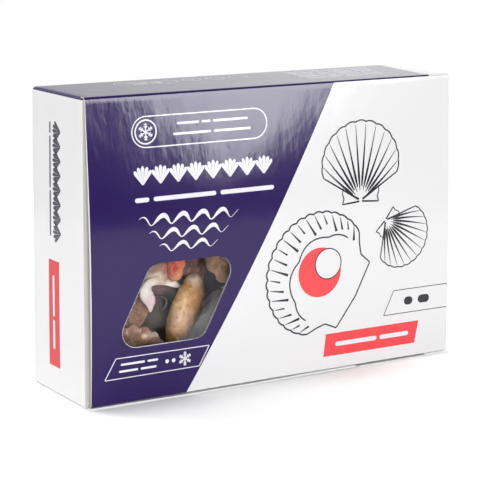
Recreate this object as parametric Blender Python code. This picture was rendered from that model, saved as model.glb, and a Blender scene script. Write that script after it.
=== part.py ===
"""A shut folding carton of frozen scallops in half shells, standing on one long narrow wall.

The carton is one folded blank. Four narrow walls and the back make a tray, and the big front
panel is hinged along the top fold. Its foot tucks in behind a low lip of the floor. A slanted
window in that panel shows the scallops nearest to it through a clear film.

Frame: metres, +Z up, +X along the front from left to right, the front faces -Y, and the origin
is at the middle of the carton's foot.
"""

import math

import bmesh
import bpy
import numpy as np
from mathutils import Vector

MM = 0.001

# The carton, outside. A filled one stands a little fuller at its foot than at its top.
HEIGHT = 165 * MM
FOOT_WIDTH = 237.7 * MM
TOP_WIDTH = 232.3 * MM
TOP_SHIFT = -1.3 * MM
TRAY_DEPTH = 65.2 * MM
BACK_LEAN = 2.4 * MM
END_BULGE = 0.6 * MM
BACK_BULGE = 0.9 * MM
BOARD = 0.6 * MM
FOLD_RADIUS = 0.8 * MM
FIT_GAP = 0.4 * MM
FLAP_WIDTH = 17 * MM
FLAP_EASE = 0.9 * MM

# The front panel stands off the tray and bows outwards, most at its left edge.
LID_STANDOFF = 1.0 * MM
LID_BOW_LEFT = 3.2 * MM
LID_BOW_RIGHT = 1.4 * MM
LID_INSET = 1.3 * MM
LID_BOW_TURN = 0.86
LID_ROWS = 13
LID_COLUMNS = 21
FOLD_DROP = 0.1 * MM
TUCK_LENGTH = 14 * MM
LID_PROUD = LID_STANDOFF + BOARD / 2 + LID_BOW_LEFT
FRONT_Y = (LID_PROUD - TRAY_DEPTH) / 2
BACK_Y = FRONT_Y + TRAY_DEPTH

# The window: a parallelogram with round corners, and the film that covers it from inside.
WINDOW_FOOT = 31.2 * MM
WINDOW_TOP = 75.1 * MM
WINDOW_LEFT = -103.9 * MM
WINDOW_WIDTH = 54.5 * MM
WINDOW_SLANT = 0.52
WINDOW_CORNER = 8.5 * MM
FILM = 0.3 * MM
FILM_OVERLAP = 7 * MM

# The floor's lip that the front panel tucks in behind.
LIP_LEFT = -63 * MM
LIP_RIGHT = 101 * MM
LIP_BREAK = 51 * MM
LIP_BREAK_WIDTH = 2.5 * MM
LIP_HEIGHT = 1.6 * MM
LIP_REACH = 3.4 * MM
LIP_FOOT = 0.05 * MM
LIP_CHAMFER = 0.3 * MM

# The heap behind the scallops that show.
HEAP_CLEARANCE = 2.5 * MM
HEAP_HOLLOW = 20 * MM
HEAP_LUMP = 1.6 * MM
HOLLOW_REACH_X = 66 * MM
HOLLOW_REACH_Z = 50 * MM


def clear_scene():
    for item in list(bpy.data.objects):
        bpy.data.objects.remove(item, do_unlink=True)


def finish(name, colour, roughness, metallic=0.0, alpha=1.0):
    material = bpy.data.materials.new(name)
    material.use_nodes = True
    shader = material.node_tree.nodes["Principled BSDF"]
    shader.inputs["Base Color"].default_value = (*colour, 1.0)
    shader.inputs["Roughness"].default_value = roughness
    shader.inputs["Metallic"].default_value = metallic
    shader.inputs["Alpha"].default_value = alpha
    return material


def add_object(name, mesh, material=None):
    item = bpy.data.objects.new(name, mesh)
    bpy.context.scene.collection.objects.link(item)
    if material:
        mesh.materials.append(material)
    return item


def mesh_from(points, faces):
    mesh = bpy.data.meshes.new("shape")
    mesh.from_pydata([tuple(p) for p in points], [], faces)
    shell = bmesh.new()
    shell.from_mesh(mesh)
    bmesh.ops.recalc_face_normals(shell, faces=shell.faces)
    shell.to_mesh(mesh)
    shell.free()
    return mesh


def cutter(name, mesh):
    item = add_object(name, mesh)
    item.hide_render = True
    item.display_type = "WIRE"
    return item


def combine(item, other, operation):
    step = item.modifiers.new(f"{operation.lower()}_{other.name}", "BOOLEAN")
    step.operation = operation
    step.object = other
    step.solver = "EXACT"


def box_mesh(low, high):
    points = [(x, y, z) for x in (low[0], high[0]) for y in (low[1], high[1]) for z in (low[2], high[2])]
    faces = [(0, 1, 3, 2), (4, 6, 7, 5), (0, 4, 5, 1), (2, 3, 7, 6), (0, 2, 6, 4), (1, 5, 7, 3)]
    return mesh_from(points, faces)


def slab_mesh(front, back):
    """A closed sheet between two grids of points that have the same rows and columns."""
    rows, columns = front.shape[:2]
    count = rows * columns
    index = np.arange(count).reshape(rows, columns)
    faces = []
    for r in range(rows - 1):
        for c in range(columns - 1):
            cell = [index[r, c], index[r, c + 1], index[r + 1, c + 1], index[r + 1, c]]
            faces.append([int(i) for i in cell])
            faces.append([int(i) + count for i in reversed(cell)])
    rim = [index[0, c] for c in range(columns)] + [index[r, -1] for r in range(1, rows)]
    rim += [index[-1, c] for c in range(columns - 2, -1, -1)] + [index[r, 0] for r in range(rows - 2, 0, -1)]
    for k, a in enumerate(rim):
        b = rim[(k + 1) % len(rim)]
        faces.append([int(b), int(a), int(a) + count, int(b) + count])
    points = np.concatenate([front.reshape(-1, 3), back.reshape(-1, 3)])
    return mesh_from(points, faces)


# The tray: a box whose walls taper and bulge.

def tray_point(u, v, w, inset, front_y):
    """u runs -1 to 1 from left to right, v -1 to 1 from front to back and w 0 to 1 upwards."""
    z = inset + w * (HEIGHT - 2 * inset)
    rise = z / HEIGHT
    belly = 4 * w * (1 - w)
    half = (FOOT_WIDTH + (TOP_WIDTH - FOOT_WIDTH) * rise) / 2 - inset
    x = TOP_SHIFT * rise + u * (half + END_BULGE * belly * (1 - v * v))
    back = BACK_Y - BACK_LEAN * rise - inset + BACK_BULGE * belly * (1 - u * u)
    y = front_y + (v + 1) / 2 * (back - front_y)
    return x, y, z


def tray_mesh(inset, front_y, cuts=7):
    shell = bmesh.new()
    bmesh.ops.create_cube(shell, size=2)
    bmesh.ops.subdivide_edges(shell, edges=shell.edges[:], cuts=cuts, use_grid_fill=True)
    for vert in shell.verts:
        u, v, w = vert.co
        vert.co = Vector(tray_point(u, v, (w + 1) / 2, inset, front_y))
    mesh = bpy.data.meshes.new("tray")
    shell.to_mesh(mesh)
    shell.free()
    return mesh


def wall_x(side, z):
    """The outer face of an end wall at height z: side is -1 on the left and 1 on the right."""
    rise = z / HEIGHT
    return TOP_SHIFT * rise + side * (FOOT_WIDTH + (TOP_WIDTH - FOOT_WIDTH) * rise) / 2


# The front panel.

def lid_bow(x, fall):
    """How far the panel stands out at x, where fall is 0 at the top fold and 1 at the foot."""
    across = (x + FOOT_WIDTH / 2) / FOOT_WIDTH
    amount = LID_BOW_RIGHT + (LID_BOW_LEFT - LID_BOW_RIGHT) * (1 - across) ** 2
    return amount * math.sin(LID_BOW_TURN * math.pi * fall)


def lid_path():
    """The middle of the board in side view, as (outwards, height, fall): fold, panel, fold, tuck."""
    high = HEIGHT - BOARD / 2 - FOLD_DROP
    low = BOARD + FIT_GAP + BOARD / 2
    turns = np.linspace(0, math.pi / 2, 4)
    path = [(-2 * BOARD, high, 0.0)]
    for turn in turns:
        out = LID_STANDOFF - FOLD_RADIUS + FOLD_RADIUS * math.sin(turn)
        path.append((out, high - FOLD_RADIUS + FOLD_RADIUS * math.cos(turn), 0.0))
    for fall in np.linspace(0, 1, LID_ROWS)[1:]:
        path.append((LID_STANDOFF, high - FOLD_RADIUS - fall * (high - low - 2 * FOLD_RADIUS), fall))
    for turn in turns[1:]:
        out = LID_STANDOFF - FOLD_RADIUS + FOLD_RADIUS * math.cos(turn)
        path.append((out, low + FOLD_RADIUS - FOLD_RADIUS * math.sin(turn), 1.0))
    path.append((-TUCK_LENGTH, low, 1.0))
    return path


def lid_grid(offset):
    """The panel moved outwards by offset along its own normal, as a grid of points."""
    grid = []
    for share in np.linspace(0, 1, LID_COLUMNS):
        column = []
        for out, z, fall in lid_path():
            left = wall_x(-1, z) + LID_INSET
            right = wall_x(1, z) - LID_INSET
            x = left + share * (right - left)
            column.append((x, FRONT_Y - out - lid_bow(x, fall), z))
        column = np.array(column)
        tangent = np.gradient(column[:, 1:], axis=0)
        tangent /= np.linalg.norm(tangent, axis=1)[:, None]
        column[:, 1] += offset * tangent[:, 1]
        column[:, 2] -= offset * tangent[:, 0]
        grid.append(column)
    return np.array(grid)


def window_outline(grow=0.0, steps=6):
    """The slanted window as a loop of (x, z): four corners, each rounded by an arc."""
    foot, top = WINDOW_FOOT - grow, WINDOW_TOP + grow
    corners = []
    for z, side in ((foot, -1), (foot, 1), (top, 1), (top, -1)):
        middle = WINDOW_LEFT + WINDOW_WIDTH / 2 + WINDOW_SLANT * (z - WINDOW_FOOT)
        corners.append(Vector((middle + side * (WINDOW_WIDTH / 2 + grow), z)))
    loop = []
    for k, corner in enumerate(corners):
        before = (corners[k - 1] - corner).normalized()
        after = (corners[(k + 1) % 4] - corner).normalized()
        half = before.angle(after) / 2
        reach = (WINDOW_CORNER + grow) / math.tan(half)
        centre = corner + (before + after).normalized() * (WINDOW_CORNER + grow) / math.sin(half)
        start = corner + before * reach - centre
        sweep = math.pi - 2 * half
        for turn in np.linspace(0, sweep, steps):
            arm = Vector((start.x * math.cos(turn) - start.y * math.sin(turn),
                          start.x * math.sin(turn) + start.y * math.cos(turn)))
            loop.append(centre + arm)
    return loop


def window_cutter():
    loop = window_outline()
    count = len(loop)
    points = [(p.x, FRONT_Y - 2 * LID_PROUD, p.y) for p in loop]
    points += [(p.x, FRONT_Y, p.y) for p in loop]
    faces = [list(range(count)), [count + k for k in reversed(range(count))]]
    faces += [[k, (k + 1) % count, (k + 1) % count + count, k + count] for k in range(count)]
    return cutter("window_hole", mesh_from(points, faces))


def lip_mesh(left, right):
    """A strip of the floor that runs out under the front panel and turns up in front of it."""
    back = FRONT_Y + 4 * BOARD
    inner = FRONT_Y - LIP_REACH + BOARD
    outer = FRONT_Y - LIP_REACH
    low = LIP_FOOT
    profile = [(back, low), (back, BOARD - low), (inner, BOARD - low), (inner, LIP_HEIGHT),
               (outer, LIP_HEIGHT), (outer, low + LIP_CHAMFER), (outer + LIP_CHAMFER, low)]
    count = len(profile)
    points = [(left, y, z) for y, z in profile] + [(right, y, z) for y, z in profile]
    faces = [list(range(count)), [count + k for k in reversed(range(count))]]
    faces += [[k, (k + 1) % count, (k + 1) % count + count, k + count] for k in range(count)]
    return mesh_from(points, faces)


def make_carton():
    carton = add_object("carton", tray_mesh(0.0, FRONT_Y), finish("printed_board", (0.09, 0.06, 0.22), 0.4))
    fold = carton.modifiers.new("folds", "BEVEL")
    fold.width = FOLD_RADIUS
    fold.segments = 2
    fold.limit_method = "ANGLE"
    fold.angle_limit = math.radians(50)
    combine(carton, cutter("inside", tray_mesh(BOARD, FRONT_Y + BOARD)), "DIFFERENCE")
    reach = 3 * BOARD
    mouth = cutter("mouth", box_mesh((-FOOT_WIDTH / 2 + FLAP_WIDTH, FRONT_Y - reach, FLAP_EASE),
                                     (FOOT_WIDTH / 2 - FLAP_WIDTH, FRONT_Y + reach, HEIGHT - FLAP_EASE)))
    combine(carton, mouth, "DIFFERENCE")
    for name, z in (("flap_ease_low", FLAP_EASE), ("flap_ease_high", HEIGHT - 2 * FLAP_EASE)):
        inner = FOOT_WIDTH / 2 - 4 * BOARD
        ease = cutter(name, box_mesh((-inner, FRONT_Y - reach, z), (inner, FRONT_Y + 1.5 * BOARD, z + FLAP_EASE)))
        combine(carton, ease, "DIFFERENCE")
    combine(carton, cutter("lid", slab_mesh(lid_grid(BOARD / 2), lid_grid(-BOARD / 2))), "UNION")
    combine(carton, window_cutter(), "DIFFERENCE")
    for name, left, right in (("lip_left", LIP_LEFT, LIP_BREAK), ("lip_right", LIP_BREAK + LIP_BREAK_WIDTH, LIP_RIGHT)):
        combine(carton, cutter(name, lip_mesh(left, right)), "UNION")
    return carton


# The film, glued behind the panel and bowed with it.

def film_point(x, z, offset):
    high = HEIGHT - BOARD / 2 - FOLD_DROP - FOLD_RADIUS
    low = BOARD + FIT_GAP + BOARD / 2 + FOLD_RADIUS
    fall = (high - z) / (high - low)
    y = FRONT_Y - LID_STANDOFF - lid_bow(x, fall) + BOARD / 2 + FIT_GAP + offset
    return x, y, z


def make_film():
    low, high = WINDOW_FOOT - FILM_OVERLAP, WINDOW_TOP + FILM_OVERLAP
    reach = WINDOW_SLANT * (WINDOW_TOP - WINDOW_FOOT)
    left, right = WINDOW_LEFT - FILM_OVERLAP, WINDOW_LEFT + WINDOW_WIDTH + reach + FILM_OVERLAP
    sides = []
    for offset in (0.0, FILM):
        sides.append(np.array([[film_point(x, z, offset) for z in np.linspace(low, high, 9)]
                               for x in np.linspace(left, right, 9)]))
    return add_object("window_film", slab_mesh(*sides), finish("clear_film", (0.95, 0.96, 0.97), 0.08, alpha=0.25))


# The scallops. Places are (x, behind the tray's front, height).

def place(x, depth, z):
    return np.array((x * MM, FRONT_Y + depth * MM, z * MM))


def unit(vector):
    vector = np.array(vector, float)
    return vector / np.linalg.norm(vector)


def curve_through(stops, steps):
    """A smooth path through the stops (Catmull-Rom), each stop a row of numbers of any length."""
    stops = np.array(stops, float)
    padded = np.concatenate([[2 * stops[0] - stops[1]], stops, [2 * stops[-1] - stops[-2]]])
    rows = []
    for t in np.linspace(0, len(stops) - 1, steps):
        k = min(int(t), len(stops) - 2)
        f = t - k
        a, b, c, d = padded[k:k + 4]
        rows.append(0.5 * (2 * b + (c - a) * f + (2 * a - 5 * b + 4 * c - d) * f ** 2
                           + (3 * b - a - 3 * c + d) * f ** 3))
    return np.array(rows)


def tongue(name, stops, material, rings=13, around=14):
    """A soft lobe: an ellipse swept along a path. A stop is (x, depth, z, half width, half thickness)."""
    rows = curve_through(stops, rings)
    centres = np.array([place(*row[:3]) for row in rows])
    tangent = np.gradient(centres, axis=0)
    tangent /= np.linalg.norm(tangent, axis=1)[:, None]
    across = np.cross(tangent, (0.0, 1.0, 0.0))
    across /= np.linalg.norm(across, axis=1)[:, None]
    through = np.cross(tangent, across)
    points = []
    for centre, side, deep, row in zip(centres, across, through, rows):
        for turn in np.linspace(0, 2 * math.pi, around, endpoint=False):
            points.append(centre + MM * (row[3] * math.cos(turn) * side + row[4] * math.sin(turn) * deep))
    faces = []
    for r in range(rings - 1):
        for k in range(around):
            a, b = r * around + k, r * around + (k + 1) % around
            faces.append([a, b, b + around, a + around])
    faces += [list(range(around)), [(rings - 1) * around + k for k in reversed(range(around))]]
    return add_object(name, mesh_from(points, faces), material)


def valve(name, umbo, towards, facing, length, arch, ribs, material, thickness=2.2):
    """A half shell: a ribbed fan that opens from its umbo and domes up along facing.

    In polar terms from the umbo, the rim lies on a circle through it, and the dome rises as the
    root of the way out and falls again to the rim, with one cosine wave for each rib."""
    origin = place(*umbo)
    along = unit(place(*towards) - origin)
    up = unit(np.array(facing) - along * np.dot(facing, along))
    across = np.cross(along, up)
    spread = math.radians(62)
    sides = []
    for lift in (0.0, -thickness):
        grid = []
        for angle in np.linspace(-spread, spread, 4 * ribs + 1):
            row = []
            for share in np.linspace(0.06, 1, 6):
                wave = math.cos(2 * math.pi * ribs * (angle + spread) / (2 * spread))
                radius = length * math.cos(angle * 0.8) * share * (1 + 0.015 * wave * share)
                dome = arch * math.sin(math.pi * share ** 0.6) * math.cos(angle * 1.2)
                height = dome - 0.5 * share * wave + lift
                row.append(origin + MM * (radius * (math.cos(angle) * along + math.sin(angle) * across)
                                          + height * up))
            grid.append(row)
        sides.append(np.array(grid))
    return add_object(name, slab_mesh(*sides), material)


def make_scallops():
    shell = finish("shell_brown", (0.25, 0.15, 0.11), 0.6)
    flesh = finish("flesh_cream", (0.85, 0.78, 0.68), 0.45)
    tan = finish("roe_tan", (0.62, 0.38, 0.16), 0.5)
    red = finish("roe_red", (0.65, 0.14, 0.07), 0.45)
    pieces = [
        tongue("roe_tan", [(-49.2, 9, 65.5, 1.5, 1.5), (-50.2, 9, 61, 7.0, 5.2), (-52.4, 9, 50, 10.0, 6.8),
                           (-56.8, 9, 38, 9.2, 6.8), (-60, 9, 28, 7.8, 6.2), (-62.5, 9, 19, 5.5, 4.5),
                           (-63.2, 9, 16, 1.0, 1.0)], tan, rings=17),
        tongue("flesh_cream", [(-51.2, 22, 53.2, 0.8, 0.8), (-59, 21, 57.5, 3.2, 2.6), (-68, 19, 60, 4.6, 3.6),
                               (-73.5, 18, 57, 5.2, 3.6), (-73.4, 17.5, 50.5, 4.8, 3.2),
                               (-72.3, 17, 43.5, 0.8, 0.8)], flesh, rings=17),
        tongue("roe_red", [(-62, 13.5, 60.5, 0.8, 0.8), (-59.5, 12.5, 65, 4.4, 3.2), (-56, 12.5, 71, 5.8, 4.0),
                           (-53, 12, 78, 4.4, 3.4), (-52, 12, 82, 0.8, 0.8)], red),
        tongue("mantle_mauve", [(-53, 20, 76, 0.8, 0.8), (-46, 21, 70, 6.5, 3.2), (-38, 22, 66, 6.5, 2.8),
                                (-30, 23, 62, 1.0, 1.0)], shell),
        valve("shell_high", (0, 15, 88), (-32, 14, 62), (0.1, -1, 0.2), 43, 6, 7, shell),
        valve("shell_left", (-106, 8, 71), (-79, 9.5, 46), (0.1, -1, 0.1), 37, 4, 7, shell),
        valve("shell_low", (-91, 9, 8), (-80, 3.2, 36), (0.0, -1, 0.25), 31, 3, 7, shell),
        valve("shell_right", (-15, 16, 20), (-39, 16.5, 46), (0.35, 1, 0.1), 39, 5, 7, shell),
    ]
    return pieces


def make_heap(pieces):
    """What lies behind them: one lumpy block out to the walls, hollow behind the window, where
    each piece that shows has its own close pocket."""
    shell = bmesh.new()
    bmesh.ops.create_cube(shell, size=2)
    bmesh.ops.subdivide_edges(shell, edges=shell.edges[:], cuts=13, use_grid_fill=True)
    middle_x = WINDOW_LEFT + WINDOW_WIDTH / 2 + WINDOW_SLANT * (WINDOW_TOP - WINDOW_FOOT) / 2
    middle_z = (WINDOW_FOOT + WINDOW_TOP) / 2
    for vert in shell.verts:
        u, v, w = vert.co
        x, y, z = tray_point(u, 1.0, (w + 1) / 2, HEAP_CLEARANCE, FRONT_Y)
        away = math.hypot((x - middle_x) / HOLLOW_REACH_X, (z - middle_z) / HOLLOW_REACH_Z)
        hollow = HEAP_HOLLOW * min(1.0, max(0.0, 3.5 - 2.5 * away))
        lumps = HEAP_LUMP * (math.sin(x / (7 * MM)) * math.cos(z / (6 * MM)) + 1)
        front = FRONT_Y + HEAP_CLEARANCE + hollow + lumps
        vert.co = Vector((x, front + (v + 1) / 2 * (y - front), z))
    mesh = bpy.data.meshes.new("heap")
    shell.to_mesh(mesh)
    shell.free()
    heap = add_object("scallop_heap", mesh, finish("heap_dark", (0.10, 0.08, 0.07), 0.7))
    for piece in pieces:
        pocket = cutter(piece.name + "_pocket", piece.data.copy())
        swell = pocket.modifiers.new("ease", "DISPLACE")
        swell.strength = FIT_GAP
        swell.mid_level = 0
        combine(heap, pocket, "DIFFERENCE")
    return heap


clear_scene()
make_carton()
make_film()
make_heap(make_scallops())
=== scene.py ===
"""The looks of a shut folding carton of frozen half-shell scallops: printed board, a film window
and what shows through it. Metres, +Z up, the printed front faces -Y, and the origin is at the
middle of the carton's foot."""

import math

import bmesh
import bpy
import numpy as np
from mathutils import Matrix, Vector


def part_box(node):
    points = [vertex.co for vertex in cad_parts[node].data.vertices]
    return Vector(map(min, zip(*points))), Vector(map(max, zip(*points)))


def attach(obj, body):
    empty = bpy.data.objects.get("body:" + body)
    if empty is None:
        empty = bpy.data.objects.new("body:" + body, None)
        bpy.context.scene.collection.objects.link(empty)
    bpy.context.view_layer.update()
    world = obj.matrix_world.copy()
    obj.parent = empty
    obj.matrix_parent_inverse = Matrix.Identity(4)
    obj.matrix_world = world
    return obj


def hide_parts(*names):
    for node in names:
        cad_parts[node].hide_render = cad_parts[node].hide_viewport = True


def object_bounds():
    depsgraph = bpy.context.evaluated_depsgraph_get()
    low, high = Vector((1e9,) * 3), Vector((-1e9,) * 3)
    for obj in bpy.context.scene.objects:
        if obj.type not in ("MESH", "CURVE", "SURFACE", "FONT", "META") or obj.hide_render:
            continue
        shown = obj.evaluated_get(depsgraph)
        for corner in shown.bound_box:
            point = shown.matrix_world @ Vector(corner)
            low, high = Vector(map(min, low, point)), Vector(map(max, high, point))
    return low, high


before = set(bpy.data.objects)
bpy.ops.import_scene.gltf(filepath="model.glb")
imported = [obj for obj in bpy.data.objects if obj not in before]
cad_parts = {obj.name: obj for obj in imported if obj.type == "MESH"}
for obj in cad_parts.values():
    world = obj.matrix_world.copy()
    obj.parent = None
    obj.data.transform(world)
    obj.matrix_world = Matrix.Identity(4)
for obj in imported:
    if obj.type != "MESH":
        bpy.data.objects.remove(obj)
cad_low, cad_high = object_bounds()

# ---------------------------------------------------------------------------------------------
# The view: the carton's left front corner comes forward, seen from a little above with a long
# lens, so that the front panel, the left end and a sliver of the top show.

CAMERA_TURN = math.radians(-30.95)
CAMERA_RISE = math.radians(11.22)
CAMERA_REACH = 1.0138
CAMERA_LENS = 134.46
CAMERA_AIM = (-0.0049, 0.0017, 0.0743)
CAMERA_SENSOR = 36
CAMERA_NEAR = 0.05

camera = bpy.data.objects.new("camera", bpy.data.cameras.new("camera"))
bpy.context.scene.collection.objects.link(camera)
bpy.context.scene.camera = camera
camera.data.lens = CAMERA_LENS
camera.data.sensor_width = CAMERA_SENSOR
camera.rotation_euler = (math.pi / 2 - CAMERA_RISE, 0, CAMERA_TURN)
camera.location = (
    CAMERA_AIM[0] + CAMERA_REACH * math.sin(CAMERA_TURN) * math.cos(CAMERA_RISE),
    CAMERA_AIM[1] - CAMERA_REACH * math.cos(CAMERA_TURN) * math.cos(CAMERA_RISE),
    CAMERA_AIM[2] + CAMERA_REACH * math.sin(CAMERA_RISE),
)
camera.data.clip_start = CAMERA_NEAR

# ---------------------------------------------------------------------------------------------
# The tray: four narrow walls and the back, folded from 0.6 mm board that is white inside and
# printed outside. Dust flaps fold in from both ends behind the front panel.

MM = 0.001
HEIGHT = cad_high.z
FOOT_WIDTH = cad_high.x - cad_low.x
TOP_NARROWING = 5.4 * MM
TOP_WIDTH = FOOT_WIDTH - TOP_NARROWING
TOP_SHIFT = -1.3 * MM
BACK_LEAN = 2.4 * MM
END_BULGE = 0.6 * MM
BACK_BULGE = 0.9 * MM
BOARD = 0.6 * MM
FOLD_RADIUS = 2.1 * MM
FLAP_WIDTH = 17 * MM
FLAP_EASE = 0.9 * MM
LID_STANDOFF = 1.0 * MM
LID_BOW_LEFT = 3.2 * MM
LID_BOW_RIGHT = 1.4 * MM
LID_BOW_TURN = 0.86
FRONT_Y = cad_low.y + LID_STANDOFF + BOARD / 2 + LID_BOW_LEFT
BACK_Y = cad_high.y
TRAY_STEPS = (43, 13, 31)
WELD = 0.00001
SHARP_ANGLE = 40


def skin(u, v, w):
    """The tray's outside at u, -1 to 1 rightwards, v, -1 to 1 backwards, and w, 0 to 1 upwards.
    The width shrinks and shifts in proportion to the height, and each wall bulges by a
    parabola across and a parabola up."""
    belly = 4 * w * (1 - w)
    half = (FOOT_WIDTH + (TOP_WIDTH - FOOT_WIDTH) * w) / 2
    x = TOP_SHIFT * w + u * (half + END_BULGE * belly * (1 - v * v))
    back = BACK_Y - BACK_LEAN * w + BACK_BULGE * belly * (1 - u * u)
    return np.stack([x, FRONT_Y + (v + 1) / 2 * (back - FRONT_Y), w * HEIGHT], axis=-1)


def grid_faces(rows, columns, wrap=False):
    """The quads of a grid of rows x columns points, with the last column joined to the first
    if it wraps."""
    index = np.arange(rows * columns).reshape(rows, columns)
    right = np.roll(index, -1, axis=1) if wrap else index[:, 1:]
    left = index if wrap else index[:, :-1]
    quads = np.stack([left[:-1], right[:-1], right[1:], left[1:]], axis=-1)
    return quads.reshape(-1, 4)


def mesh_piece(name, points, faces, materials, weld=0.0, outward=False, smooth_angle=SHARP_ANGLE):
    """A mesh object from arrays of points and quads, welded and turned outwards on request. Edges
    that bend more than the angle are shaded sharp, and none if it is 0."""
    mesh = bpy.data.meshes.new(name)
    mesh.from_pydata(np.asarray(points, float).reshape(-1, 3).tolist(), [], np.asarray(faces).tolist())
    for material in materials:
        mesh.materials.append(material)
    if weld or outward:
        shape = bmesh.new()
        shape.from_mesh(mesh)
        if weld:
            bmesh.ops.remove_doubles(shape, verts=shape.verts, dist=weld)
        if outward:
            bmesh.ops.recalc_face_normals(shape, faces=shape.faces)
        shape.to_mesh(mesh)
        shape.free()
    mesh.shade_smooth()
    if smooth_angle:
        mesh.set_sharp_from_angle(angle=math.radians(smooth_angle))
    piece = bpy.data.objects.new(name, mesh)
    bpy.context.scene.collection.objects.link(piece)
    return piece


class Shade:
    """A shader socket in a Python expression: each operator adds the Math node that it names."""

    def __init__(self, paint, socket):
        self.paint = paint
        self.socket = socket

    def math(self, operation, other=None, first=False):
        """A Math node on this socket alone, or on it and the other, which comes first if it says so."""
        pair = [self] if other is None else [other, self] if first else [self, other]
        return self.paint.node("ShaderNodeMath", {"operation": operation}, dict(enumerate(pair)))

    def __add__(self, other):
        return self.math("ADD", other)

    def __sub__(self, other):
        return self.math("SUBTRACT", other)

    def __rsub__(self, other):
        return self.math("SUBTRACT", other, first=True)

    def __mul__(self, other):
        return self.math("MULTIPLY", other)

    def __truediv__(self, other):
        return self.math("DIVIDE", other)

    def __pow__(self, other):
        return self.math("POWER", other)

    def __gt__(self, other):
        return self.math("GREATER_THAN", other)

    def __lt__(self, other):
        return self.math("LESS_THAN", other)

    def __abs__(self):
        return self.math("ABSOLUTE")

    __radd__ = __add__
    __rmul__ = __mul__

    def smooth(self, low, high):
        """0 below low, 1 above high and an S-shaped rise between them."""
        return self.paint.node("ShaderNodeMapRange", {"interpolation_type": "SMOOTHSTEP"},
                               {"Value": self, "From Min": low, "From Max": high})


class Paint:
    """A material: its Principled shader, with the sockets that are the same all over set once."""

    def __init__(self, name, **fixed):
        self.material = bpy.data.materials.new(name)
        self.open(self.material, "Principled BSDF", "Object")
        for key, value in fixed.items():
            self.plug(self.shader.inputs[key.replace("_", " ")], value)

    def open(self, owner, shader, place):
        """Takes up the owner's shader, and the coordinates that its patterns follow."""
        owner.use_nodes = True
        self.tree = owner.node_tree
        self.shader = self.tree.nodes[shader]
        self.place = self.node("ShaderNodeTexCoord", {}, {}, place)
        self.x, self.y, self.z = (self.node("ShaderNodeSeparateXYZ", {}, {0: self.place}, axis)
                                  for axis in "XYZ")

    def plug(self, socket, value):
        """Links a shade to a socket, or sets its value, with a colour as opaque."""
        if isinstance(value, Shade):
            self.tree.links.new(value.socket, socket)
        else:
            socket.default_value = (*value, 1) if socket.type == "RGBA" else value

    def node(self, kind, settings, sockets, output=0):
        """Adds a node of that kind: first its settings, then what its sockets take."""
        item = self.tree.nodes.new(kind)
        for key, value in settings.items():
            setattr(item, key, value)
        for key, value in sockets.items():
            self.plug(item.inputs[key], value)
        return Shade(self, item.outputs[output])

    def noise(self, scale, detail=2.0, rough=0.5, drawn=None, turn=0.0, where=None):
        """Smooth noise from 0 to 1, scale features a metre, drawn out so many times along X, Y
        and Z, which are first turned about Y by so many degrees."""
        where = where or self.place
        if drawn:
            where = self.node("ShaderNodeMapping", {"vector_type": "TEXTURE"},
                              {"Vector": where, "Rotation": (0, math.radians(turn), 0), "Scale": drawn})
        return self.node("ShaderNodeTexNoise", {},
                         {"Vector": where, "Scale": scale, "Detail": detail, "Roughness": rough})

    def mix(self, share, first, second):
        """The colour first where share is 0 and second where it is 1."""
        return self.node("ShaderNodeMix", {"data_type": "RGBA"}, {0: share, 6: first, 7: second}, 2)

    def wear(self, **links):
        """Joins values to the shader's sockets: colour, roughness, coat, alpha, glow and relief,
        which is (height, depth in metres)."""
        names = {"colour": "Base Color", "roughness": "Roughness", "coat": "Coat Weight", "alpha": "Alpha",
                 "glow": "Emission Color", "relief": "Normal"}
        for key, value in links.items():
            if key == "relief":
                height, depth = value
                value = self.node("ShaderNodeBump", {},
                                  {"Height": height, "Distance": depth, "Strength": 1.0})
            self.plug(self.shader.inputs[names[key]], value)
        return self.material


WHITE_BOARD = (0.86, 0.855, 0.865)
INDIGO = (0.023, 0.0085, 0.095)
# The raw board's grey, which on the dust flaps is partly painted shade.
RAW_BOARD_AND_FLAP_SHADE = (0.56, 0.54, 0.51)
RELIEF_DEPTH = 0.05 * MM
FIBRE_DEPTH = 0.03 * MM
VARNISH_ROUGHNESS = 0.08
VARNISH_UNEVEN = 0.05


def scaled(colour, share, lift=0.0):
    """A colour times a share, plus a lift."""
    return tuple(c * share + lift for c in colour)


def board_relief(paint):
    """Coated board isn't quite flat: a fine tooth, upright fibres and slow waves."""
    return (paint.noise(2600, 3) * 0.03 + paint.noise(420, 3, 0.6, drawn=(1, 1, 6), turn=-8) * 0.3
            + paint.noise(70, 3, drawn=(1, 1, 1.6)) * 2.2)


def printed_board(name, printed, gloss, raw_and_shade=None):
    """Coated white board, indigo where printed (0 to 1) says so, under a varnish whose gloss is
    the share of a full lacquer. Where the second mask says so, the board takes the raw board's grey,
    which on the dust flaps is partly painted shade."""
    paint = Paint(name, Specular_IOR_Level=gloss / 2)
    cloud = paint.noise(35, 3)
    white = paint.mix(cloud, scaled(WHITE_BOARD, 0.985), WHITE_BOARD)
    ink = paint.mix(cloud, scaled(INDIGO, 0.9), scaled(INDIGO, 1.12))
    colour = paint.mix(printed(paint), white, ink)
    if raw_and_shade:
        colour = paint.mix(raw_and_shade(paint), colour, RAW_BOARD_AND_FLAP_SHADE)
    return paint.wear(colour=colour, roughness=VARNISH_ROUGHNESS + cloud * VARNISH_UNEVEN,
                      relief=(board_relief(paint), RELIEF_DEPTH))


def raw_board_finish():
    """Uncoated grey board with upright fibres."""
    paint = Paint("raw_board", Roughness=0.8)
    fibre = paint.noise(1800, 4, drawn=(1, 1, 3))
    return paint.wear(colour=paint.mix(fibre, scaled(RAW_BOARD_AND_FLAP_SHADE, 0.9), RAW_BOARD_AND_FLAP_SHADE),
                      relief=(fibre, FIBRE_DEPTH))


TOP_PRINT_END = 101 * MM
TOP_PRINT_SLANT = 0.14
BACK_FIELD_EDGE = 61.2 * MM
BACK_FIELD_SLANT = -0.576
BACK_BAND = 2 * MM
TOP_BAND = 0.7 * FOLD_RADIUS


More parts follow.
